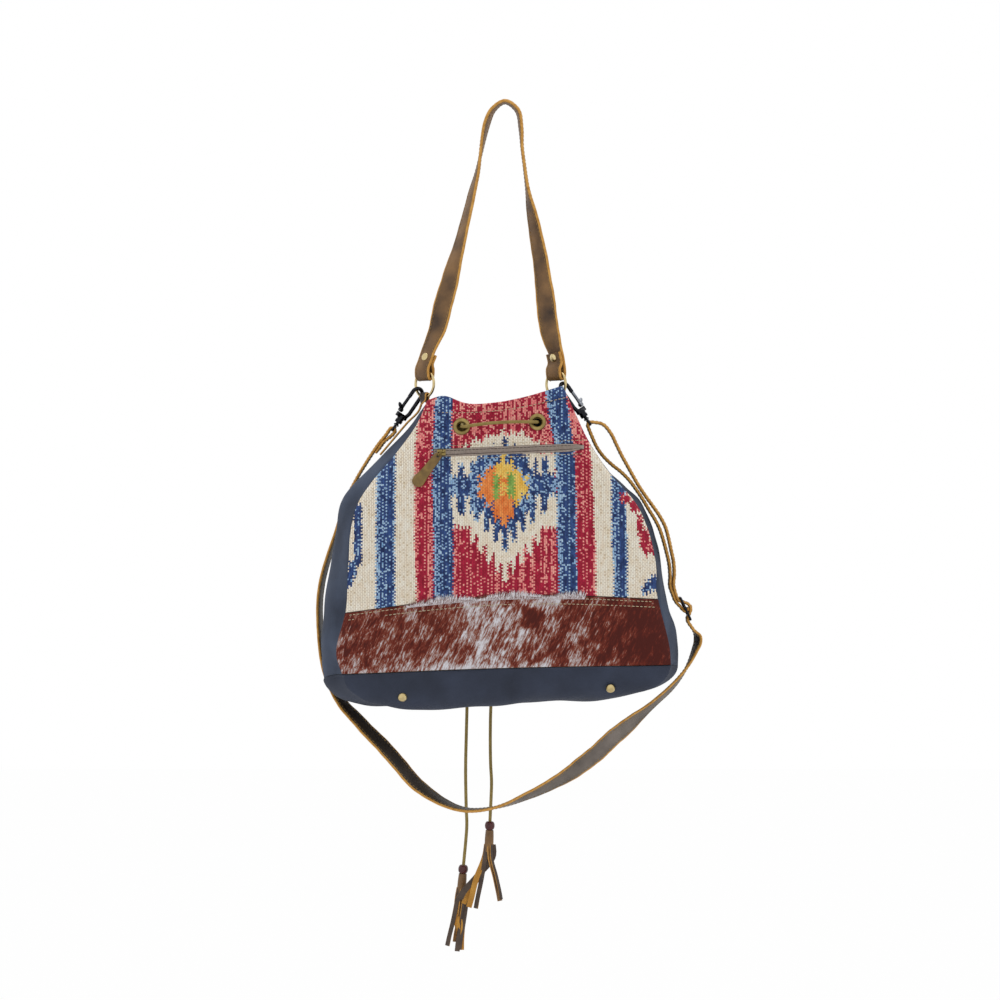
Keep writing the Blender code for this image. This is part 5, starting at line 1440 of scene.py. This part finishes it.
def ring_tab(name, centre, u, side, flat):
    """A leather strip from outside the gusset, over the ring's wire, to inside the lining."""
    bend = RING_WIRE + SEAT + TAB_THICKNESS / 2
    outwards = side * np.cross(UP, flat)
    wire = centre - UP * RING_RADIUS
    edge = -TOWARDS_BACK
    inner_face = LINING_BACK + TAB_THICKNESS / 2 + 3.0 * MM
    outside = [(wall_point(u, v, -TAB_THICKNESS / 2 - gap * MM), edge) for v, gap in TAB_GAPS]
    inside_leg = [(wall_point(u, v, inner_face), edge) for v in TAB_INNER_LEVELS]
    over = [(p, flat) for p in arc(wire + UP * TAB_SLACK, outwards, UP, bend, 0, 180, 8)]
    below = wire - UP * 2.2 * MM
    outer_leg, inner_leg = below + outwards * bend, below - outwards * bend
    twist_in, twist_out = [], []
    for share in (0.2, 0.4, 0.6):
        across = unit(flat * (0.6 - share) + edge * share)
        twist_in.append((inner_leg * (1 - share) + inside_leg[0][0] * share, across))
        twist_out.append((outer_leg * (1 - share) + outside[-1][0] * share, across))
    stations = [*outside, *twist_out[::-1], (outer_leg, flat), *over, (inner_leg, flat), *twist_in,
                *inside_leg]
    piece = strap("tab_leather_" + name, [p for p, _ in stations], [w for _, w in stations],
                  TAB_WIDTH, TAB_THICKNESS, 1.6 * MM, 0)[0]
    take(piece, [DARK_LEATHER, RAW_EDGE], "bag", "ring_tab_" + name)


def clasps():
    """Both swivel clasps: hook, sprung gate and the strap's eye."""
    for side, lever in (("left", GUNMETAL), ("right", STEEL)):
        pivot, axes = clasp_frame(side)
        hook, gate = "clasp_hook_" + side, "clasp_gate_" + side
        take(clasp_hook("hook_" + side, pivot, axes), GUNMETAL, hook, hook)
        take(clasp_gate("gate_lever_" + side, pivot, axes), lever, gate, gate)
        eye = clasp_eye("swivel_eye_" + side, pivot, axes)
        take(eye, GUNMETAL, "bag", "clasp_eye_" + side)


def clasp_hook(name, pivot, axes):
    """Hook, base block and swivel barrel."""
    half = HOOK_HALF_WIDTH
    turns = [math.pi * k / 24 for k in range(25)]
    path = [(HOOK_NOSE, -half, 0), (HOOK_NOSE + 2.5 * MM, -half, 0)]
    path += [(HOOK_CROWN + half * math.sin(t), -half * math.cos(t), 0) for t in turns]
    path += [(a * MM, half * b, 0) for a, b in HOOK_SHANK]
    path = frame_points(path, pivot, axes)
    hook = rod("hook", path, axes[2], HOOK_BAR, 16)
    tip = [(0, -0.9 * MM), (HOOK_BAR * 0.7, -0.6 * MM), (HOOK_BAR, 0.2 * MM), (0, 0.4 * MM)]
    nose = turned("nose", tip, path[0], axes[0], 16, GUNMETAL)
    block = box_between("block", pivot, axes, (-1 * MM, -8 * MM, -GATE_THICKNESS / 2),
                        (GATE_PIN[0] - GATE_BOSS - 0.4 * MM, half, GATE_THICKNESS / 2), GUNMETAL)
    bevelled(block, 0.8 * MM)
    neck = (SWIVEL_NECK + SEAT) / BARREL_RADIUS
    profile = [(BARREL_RADIUS * share, height * MM) for share, height in (
        (0, 2.4), (0.8, 2.2), (1, 1.4), (1, -2), (0.88, -2.5), (0.88, -3), (1, -3.5), (1, -6.2),
        (0.86, -7), (neck, -7), (neck, -2), (0, -2))]
    barrel = turned("barrel", profile, pivot, axes[0], 32, GUNMETAL)
    return join(name, hook, nose, block, barrel)


def clasp_gate(name, pivot, axes):
    """Sprung gate with its boss and thumb piece."""
    pin_a, pin_b = GATE_PIN
    half = GATE_THICKNESS / 2
    rim = half - 0.4 * MM
    profile = [(0, -half), (GATE_BOSS * 0.8, -half), (GATE_BOSS, -rim), (GATE_BOSS, rim),
               (GATE_BOSS * 0.8, half), (0, half)]
    boss = turned("boss", profile, frame_points([(pin_a, pin_b, 0)], pivot, axes)[0], axes[2], 28, GUNMETAL)
    bar = [(pin_a + 0.5 * MM, pin_b, 0), (15 * MM, pin_b - 0.3 * MM, 0), (HOOK_NOSE - 0.4 * MM, pin_b, 0)]
    lever = rod("rod", frame_points(bar, pivot, axes), axes[2], GATE_BAR, 14)
    shares = [k / 8 for k in range(9)]
    path = [((9.3 + 3.4 * s ** 1.6) * MM, pin_b + 0.5 * MM - (THUMB_REACH + 0.5 * MM) * s, 0) for s in shares]
    sizes = [GATE_BAR * (0.85 + 0.35 * math.sin(math.pi * min(1, 1.1 * s))) for s in shares]
    sizes[-1] *= 0.55
    centres = frame_points(path, pivot, axes)
    rows = sweep_rings(centres, axes[2], circle(1, 14))
    shaped = [[c + (p - c) * size for p in row] for row, c, size in zip(rows, centres, sizes)]
    return join(name, boss, lever, loft("thumb", shaped, GUNMETAL))


def clasp_eye(name, pivot, axes):
    """Eye for the strap, on a headed post that turns in the hook's barrel."""
    a = axes[0]
    profile = [(0, -1.9 * MM), (SWIVEL_HEAD, -1.9 * MM), (SWIVEL_HEAD, -5.1 * MM),
               (SWIVEL_NECK, -5.1 * MM), (SWIVEL_NECK, -8.4 * MM), (SWIVEL_NECK * 1.5, -9.2 * MM),
               (SWIVEL_NECK * 1.5, EYE_TOP), (0, EYE_TOP - 0.6 * MM)]
    post = turned("post", profile, pivot, a, 28, GUNMETAL)
    path = rounded_frame(pivot, a, TOWARDS_BACK, EYE_BAR, EYE_TOP, EYE_HALF_WIDTH, EYE_CORNER)
    return join(name, post, wire_loop("loop", path, np.cross(a, TOWARDS_BACK), EYE_WIRE, 12))


def eye_fold(side):
    """Where the strap turns round a clasp's eye: the middle, the way up and the way outwards."""
    pivot, axes = clasp_frame(side)
    out = np.cross(axes[0], TOWARDS_BACK)
    if out[0] * CLASPS[side][-1] < 0:
        out = -out
    return pivot + axes[0] * EYE_BAR, axes[0], out


def crossbody_strap():
    """One strap: sewn loop at the left clasp, under the bag, through the slider, round the
    right clasp's eye, and back to the slider's middle bar."""
    centre, a, out = eye_fold("left")
    start = centre + out * STRAP_BEND
    near = [(*start / MM, 0), (*(start - a * 5 * MM) / MM, 0)]
    through = in_slider(THREAD_THROUGH)
    route = np.array(near + [tuple(p) for p in STRAP_LEFT_ROUTE] + [(*through[0] / MM, 12)])
    sweep = smooth_path(route, 7.5)[:-1]
    lower = sweep[:, :3] * MM
    widths = []
    for tangent, degrees in zip(np.gradient(lower, axis=0), sweep[:, 3]):
        turn = math.radians(degrees)
        outward = unit(np.cross(TOWARDS_BACK, tangent))
        widths.append(math.cos(turn) * -TOWARDS_BACK + math.sin(turn) * outward)
    flap = fold_back(lower[:8], widths[:8], centre, STRAP_THICKNESS + 0.6 * MM, STRAP_FLAP, 5 * MM)
    loop = arc(centre, -out, a, STRAP_BEND, 20, 160, 7)
    centre, a, out = eye_fold("right")
    turn = arc(centre, out, a, STRAP_BEND, 35, 172, 7)
    outer = smooth_path(np.array([through[-1], *STRAP_OUTER_ROUTE, turn[0]]), 13 * MM)[1:-1]
    back = in_slider(THREAD_BACK)
    inner = smooth_path(np.array([turn[-1], *STRAP_INNER_ROUTE, back[0]]), 13 * MM)[1:-1]
    slider_out = unit(np.array([SLIDER_UP[2], 0, -SLIDER_UP[0]]))
    wrap_bend = SLIDER_BAR + SEAT + STRAP_THICKNESS / 2 + 0.1 * MM
    wrap = arc(SLIDER_CENTRE, -slider_out, -unit(SLIDER_UP), wrap_bend, 0, 180, 8)
    rest = [*through, *outer, *turn, *inner, *back, *wrap]
    points = [*(p for p, _ in flap), *loop, *lower, *rest]
    across = [*(w for _, w in flap), *[-TOWARDS_BACK] * len(loop), *widths, *[-TOWARDS_BACK] * len(rest)]
    # One face of the strap gets the dark leather as painted shade, the other the grey-brown leather
    piece, path, wide = strap("crossbody_leather", points, across, STRAP_WIDTH, STRAP_SHOWN_THICKNESS,
                              2.4 * MM, numbers=(1, 2, 2, 1, 1, 1, 0, 0, 1, 1))
    take(piece, [GREY_LEATHER, RAW_EDGE, DARK_LEATHER], "bag", "crossbody_strap")
    strap_stitches("crossbody_stitches", path, wide, STRAP_WIDTH, STRAP_SHOWN_THICKNESS)


def strap_slider():
    """A three-bar slider: a rounded frame with a middle bar."""
    up, side = unit(SLIDER_UP), TOWARDS_BACK
    path = rounded_frame(SLIDER_CENTRE, up, side, -SLIDER_PITCH, SLIDER_PITCH, SLIDER_HALF_WIDTH,
                         SLIDER_CORNER)
    normal = np.cross(up, side)
    ends = [SLIDER_CENTRE + side * sign * (SLIDER_HALF_WIDTH - 0.2 * MM) for sign in (-1, 1)]
    rim = wire_loop("rim", path, normal, SLIDER_BAR)
    bar = wire_loop("bar", ends, normal, SLIDER_BAR * 0.96, 14, False)
    take(join("slider_buckle", rim, bar), GUNMETAL, "bag", "strap_slider")


def zip_parts():
    """The zip's tape with its folds, its coil, dark strips of painted shade in the grooves beside it, the
    slider and pull.
    """
    middle, length, axes = zip_frame()
    half = length / 2
    rows = []
    for x in np.linspace(-half + SEAT, half - SEAT, 60):
        tall = zip_opening(x, half) - SEAT
        back = ZIP_FACE + ZIP_TAPE_THICKNESS
        corners = [(x, ZIP_FACE, -tall), (x, back, -tall), (x, back, tall), (x, ZIP_FACE, tall)]
        rows.append(frame_points(corners, middle, axes))
    folds = []
    for level in (-1, 1):
        path = [(x, ZIP_FACE - 0.25 * MM, level * (zip_opening(x, half) - ZIP_FOLD_INSET))
                for x in np.linspace(-half + 1 * MM, half - 5 * MM, 60)]
        folds.append(wire_loop("fold", frame_points(path, middle, axes), axes[2], ZIP_FOLD_WIRE, 8, False))
    tape = join("zip_tape_folds", loft("zip_tape_cloth", rows, ZIP_CLOTH), *folds)
    take(tape, ZIP_CLOTH, "bag", "zip_tape")
    back = ZIP_FACE - SEAT
    links = []
    run = half - 3 * MM
    for k in range(int(2 * run / ZIP_LINK_PITCH)):
        x = -run + (k + 0.5) * ZIP_LINK_PITCH
        low = (-0.35 if k % 2 else -0.5) * ZIP_CHAIN_HEIGHT
        links.append(box_between("link", middle, axes,
                                 (x - ZIP_LINK_HALF, back - 0.9 * ZIP_CHAIN_THICKNESS, low),
                                 (x + ZIP_LINK_HALF, back, low + 0.85 * ZIP_CHAIN_HEIGHT), ZIP_CLOTH))
    take(join("zip_coil", *links), ZIP_COIL, "bag", "zip_chain")
    # Thin dark strips along both edges of the coil: painted shade, not a part of the zip
    grooves = []
    for level in (-1, 1):
        low = level * (ZIP_CHAIN_HEIGHT / 2 + 0.25 * MM)
        grooves.append(box_between("groove", middle, axes,
                                   (-half + 2 * MM, ZIP_FACE - 0.35 * MM, low - 0.3 * MM),
                                   (half - 2 * MM, ZIP_FACE + 0.1 * MM, low + 0.3 * MM), ZIP_GROOVE_SHADE))
    take(join("zip_grooves", *grooves), ZIP_GROOVE_SHADE)
    top = back - ZIP_CHAIN_THICKNESS
    centre = middle - axes[0] * (half - ZIP_SLIDER_START)
    zip_slider(centre, axes, top)
    zip_pull(centre, axes, top)


def zip_slider(centre, axes, top):
    """A channel over the teeth with a bridge that carries the pull."""
    side = ZIP_CHAIN_HEIGHT / 2 + SEAT
    outer = side + ZIP_SLIDER_WALL
    under = top - SEAT
    over = under - ZIP_SLIDER_WALL
    skirt = top + 0.8 * ZIP_CHAIN_THICKNESS
    right = [(outer - 0.5 * MM, over), (outer, over + 0.4 * MM), (outer, skirt), (side, skirt), (side, under)]
    left = [(-z, y) for z, y in right[::-1]]
    section = [*left[2:], *right, *left[:2]]
    half = ZIP_SLIDER_LENGTH / 2
    rows = [frame_points([(x, y, z * wide) for z, y in section], centre, axes)
            for x, wide in ((-half, 0.9), (-half + 1 * MM, 1.0), (half - 1 * MM, 1.0), (half, 0.9))]
    span = ZIP_BRIDGE_SPAN / 2
    turns = [math.pi * k / 16 for k in range(17)]
    arch = [(-span, over + 0.5 * MM, 0)]
    arch += [(-span * math.cos(t), over - ZIP_BRIDGE_RISE * math.sin(t) ** 0.6, 0) for t in turns]
    arch.append((span, over + 0.5 * MM, 0))
    bridge = rod("bridge", frame_points(arch, centre, axes), axes[2], ZIP_WIRE, 12)
    body = join("slider_body", loft("body", rows, BRASS), bridge)
    take(body, BRASS, "zip_slider", "zip_slider")


def pull_outline():
    """Half widths along the pull, from its neck to its round end, and back up the other side."""
    stations = [(-2.9 * MM, 0.55), (-1.6 * MM, 0.84), (3 * MM, 1.0),
                (PULL_LENGTH * 0.45, 1.08), (PULL_LENGTH * 0.62, 1.22)]
    edge = [(along, share * PULL_NECK) for along, share in stations]
    for k in range(12):
        turn = math.pi / 2 * k / 12
        edge.append((PULL_LENGTH - PULL_BULB * (1 - math.sin(turn)), PULL_BULB * math.cos(turn)))
    return [*edge, (PULL_LENGTH, 0), *[(along, -wide) for along, wide in edge[::-1]]]


def zip_pull(centre, axes, top):
    """A wire ring through the bridge and a leather pull that hangs from it."""
    over = top - SEAT - ZIP_SLIDER_WALL
    bridge = centre + axes[1] * (over - PULL_HEIGHT)
    down = -axes[2] * math.cos(PULL_LEAN) - axes[0] * math.sin(PULL_LEAN)
    down = unit(down + PULL_DROP * axes[1])
    sideways = unit(np.cross(axes[1], down))
    outwards = np.cross(sideways, down)
    ring_centre = bridge + down * (PULL_RING_RADIUS - 3 * ZIP_WIRE)
    path = arc(ring_centre, down, PULL_RING_FLATNESS * outwards, PULL_RING_RADIUS, 0, 360, 40)[:-1]
    ring = wire_loop("pull_wire", path, sideways, ZIP_WIRE, 12)
    take(ring, BRASS, "zip_pull", "zip_pull_ring")
    hole = ring_centre + down * PULL_RING_RADIUS
    outline = np.array(pull_outline())
    middle = outline.mean(axis=0)
    thick = PULL_THICKNESS / 2
    rows = []
    for depth, shrink in ((-thick, 0.94), (-0.6 * thick, 1.0), (0.6 * thick, 1.0), (thick, 0.94)):
        rows.append([hole + down * a + sideways * b + outwards * depth
                     for a, b in middle + (outline - middle) * shrink])
    tab = loft("pull_leather_tab", rows, PULL_LEATHER)
    profile = [(0, -5 * MM), (PULL_BORE, -5 * MM), (PULL_BORE, 5 * MM), (0, 5 * MM)]
    cut(tab, turned("bore", profile, hole, outwards, 20, PULL_LEATHER))
    take(smooth(tab, 50), PULL_LEATHER, "zip_pull", "zip_pull_tab")


def eyelets():
    """Rolled eyelets through the panels and the lining."""
    middle, reach = (EYELET_FLANGE + EYELET_BORE) / 2, (EYELET_FLANGE - EYELET_BORE) / 2
    turns = [math.pi * k / 12 for k in range(13)]
    roll = [(middle - reach * math.cos(t), (0.5 + 1.9 * math.sin(t) ** 0.8) * MM) for t in turns]
    back, front = -1.8 * MM - LINING_BACK, -1.0 * MM - LINING_BACK
    profile = [*roll[::-1], (EYELET_BORE, back), (EYELET_BACK_RADIUS, back), (EYELET_BACK_RADIUS, front),
               (EYELET_BARREL, front), (EYELET_BARREL, 0.5 * MM)]
    for name, (x, z, side) in EYELETS.items():
        rim = turned(name + "_rim", profile, panel_point(x, z, side), panel_normal(x, z, side), 48,
                     BRASS, ring=True)
        take(rim, BRASS, "bag", name)


def feet():
    """Domed feet, square to the sagging base."""
    profile = [(0, -0.4 * MM), (FOOT_RADIUS * 1.05, -0.4 * MM), (FOOT_RADIUS * 1.05, 0.9 * MM)]
    for k in range(1, 10):
        turn = math.radians(10 * k)
        profile.append((FOOT_RADIUS * math.cos(turn) if k < 9 else 0,
                        0.9 * MM + (FOOT_HEIGHT - 0.7 * MM) * math.sin(turn)))
    for name, (u, q) in FEET.items():
        along = wall_point(u + 0.01, 1 + q) - wall_point(u - 0.01, 1 + q)
        inwards = wall_point(u, 1 + q + 0.01) - wall_point(u, 1 + q - 0.01)
        normal = unit(np.cross(along, inwards))
        normal = normal if normal[2] < 0 else -normal
        dome = turned(name + "_dome", profile, wall_point(u, 1 + q), normal, 36, PALE_BRASS)
        take(dome, PALE_BRASS, "bag", name)


def panel_stitches():
    """Topstitching along the hide's upper edge, below the mouth's hem and round the zip."""
    for name, first_u, v_rows in (
            ("hide_stitches", 0, (HIDE_TOP_LEVEL + 0.010, HIDE_TOP_LEVEL + 0.028)),
            ("hem_stitches", 0, (0.032,)), ("back_hem_stitches", 2, (0.032,))):
        us = np.linspace(first_u + 0.01, first_u + 0.99, 240)
        parts = []
        for v in v_rows:
            path = wall_grid(us, [(v, -1.0 * MM if v > 0.5 else -0.9 * MM, 0)])[0]
            up = wall_grid(us, [(v - 0.01, -1.0 * MM, 0)])[0] - path
            parts.append(stitches(name, path, units(up), 0.0, 0.0))
        take(join(name, *parts), THREAD)
    xs = np.linspace(ZIP_LEFT[0] - 5 * MM, ZIP_RIGHT[0] + 5 * MM, 90)
    zs = np.interp(xs, (ZIP_LEFT[0], ZIP_RIGHT[0]), (ZIP_LEFT[1], ZIP_RIGHT[1]))
    parts = []
    for rise in (-ZIP_ROW_RISE, ZIP_ROW_RISE):
        path = np.array([panel_point(x, z + rise, -1, -0.9 * MM) for x, z in zip(xs, zs)])
        parts.append(stitches("zip_stitches", path, np.tile(UP, (90, 1)), 0.0, 0.0, thread=0.34 * MM))
    take(join("zip_stitches", *parts), THREAD)


def studio():
    """Pale floor and backdrop, soft lights and the camera."""
    mesh = bpy.data.meshes.new("floor")
    corners = [(x, y, FLOOR_Z) for x, y in ((-9, -9), (9, -9), (9, 9), (-9, 9))]
    mesh.from_pydata(corners, [], [(0, 1, 2, 3)])
    pale, tree, shader = shader_material("pale_floor", 0.9)
    shader.inputs["Base Color"].default_value = (0.9, 0.9, 0.9, 1)
    path = add_node(tree, "LightPath")
    glow = add_node(tree, "Emission", {"Strength": 1.0})
    share = maths(tree, "MULTIPLY", path.outputs["Is Camera Ray"], FLOOR_GLOW)
    mix = add_node(tree, "MixShader", {"Fac": share, 1: shader.outputs["BSDF"],
                                       2: glow.outputs["Emission"]})
    tree.links.new(mix.outputs["Shader"], tree.nodes["Material Output"].inputs["Surface"])
    mesh.materials.append(pale)
    put("floor", mesh)
    world = bpy.data.worlds.new("studio")
    bpy.context.scene.world = world
    world.use_nodes = True
    tree = world.node_tree
    tree.nodes.clear()
    path = add_node(tree, "LightPath")
    seen = maths(tree, "MAXIMUM", path.outputs["Is Camera Ray"], path.outputs["Is Glossy Ray"])
    room = add_node(tree, "Background", {"Color": (1, 1, 1, 1), "Strength": ROOM_LIGHT})
    backdrop = add_node(tree, "Background", {"Color": (1, 1, 1, 1), "Strength": 1.0})
    mix = add_node(tree, "MixShader", {"Fac": seen, 1: room.outputs["Background"],
                                       2: backdrop.outputs["Background"]})
    add_node(tree, "OutputWorld", {"Surface": mix.outputs["Shader"]})
    for name, place, size, power in LAMPS:
        lamp = bpy.data.lights.new(name, "AREA")
        lamp.size = size
        lamp.energy = power
        light = put(name, lamp)
        light.location = place
        light.rotation_euler = aim_angles(np.array(LAMP_AIM) - place)
    lens = bpy.data.cameras.new("camera")
    lens.lens = LENS
    lens.sensor_width = 36
    camera = put("camera", lens)
    camera.location = CAMERA
    camera.rotation_euler = (math.pi / 2, 0, 0)
    bpy.context.scene.camera = camera
    bpy.context.scene.view_settings.view_transform = "Standard"


def aim_angles(direction):
    """Turns that point a lamp's -Z along direction."""
    x, y, z = unit(direction)
    return (math.acos(-z), 0, math.atan2(x, -y))


def dress():
    """Every piece in its order."""
    studio()
    laces()
    kilim_panel()
    hide_band()
    hair_fringe()
    canvas_panels()
    panel_stitches()
    zip_parts()
    eyelets()
    handle()
    rings()
    clasps()
    crossbody_strap()
    strap_slider()
    feet()
    for name in ("lining", "zip_pocket_pouch"):
        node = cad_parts[name]
        node.data.materials[0] = LINING


dress()
bpy.context.view_layer.update()
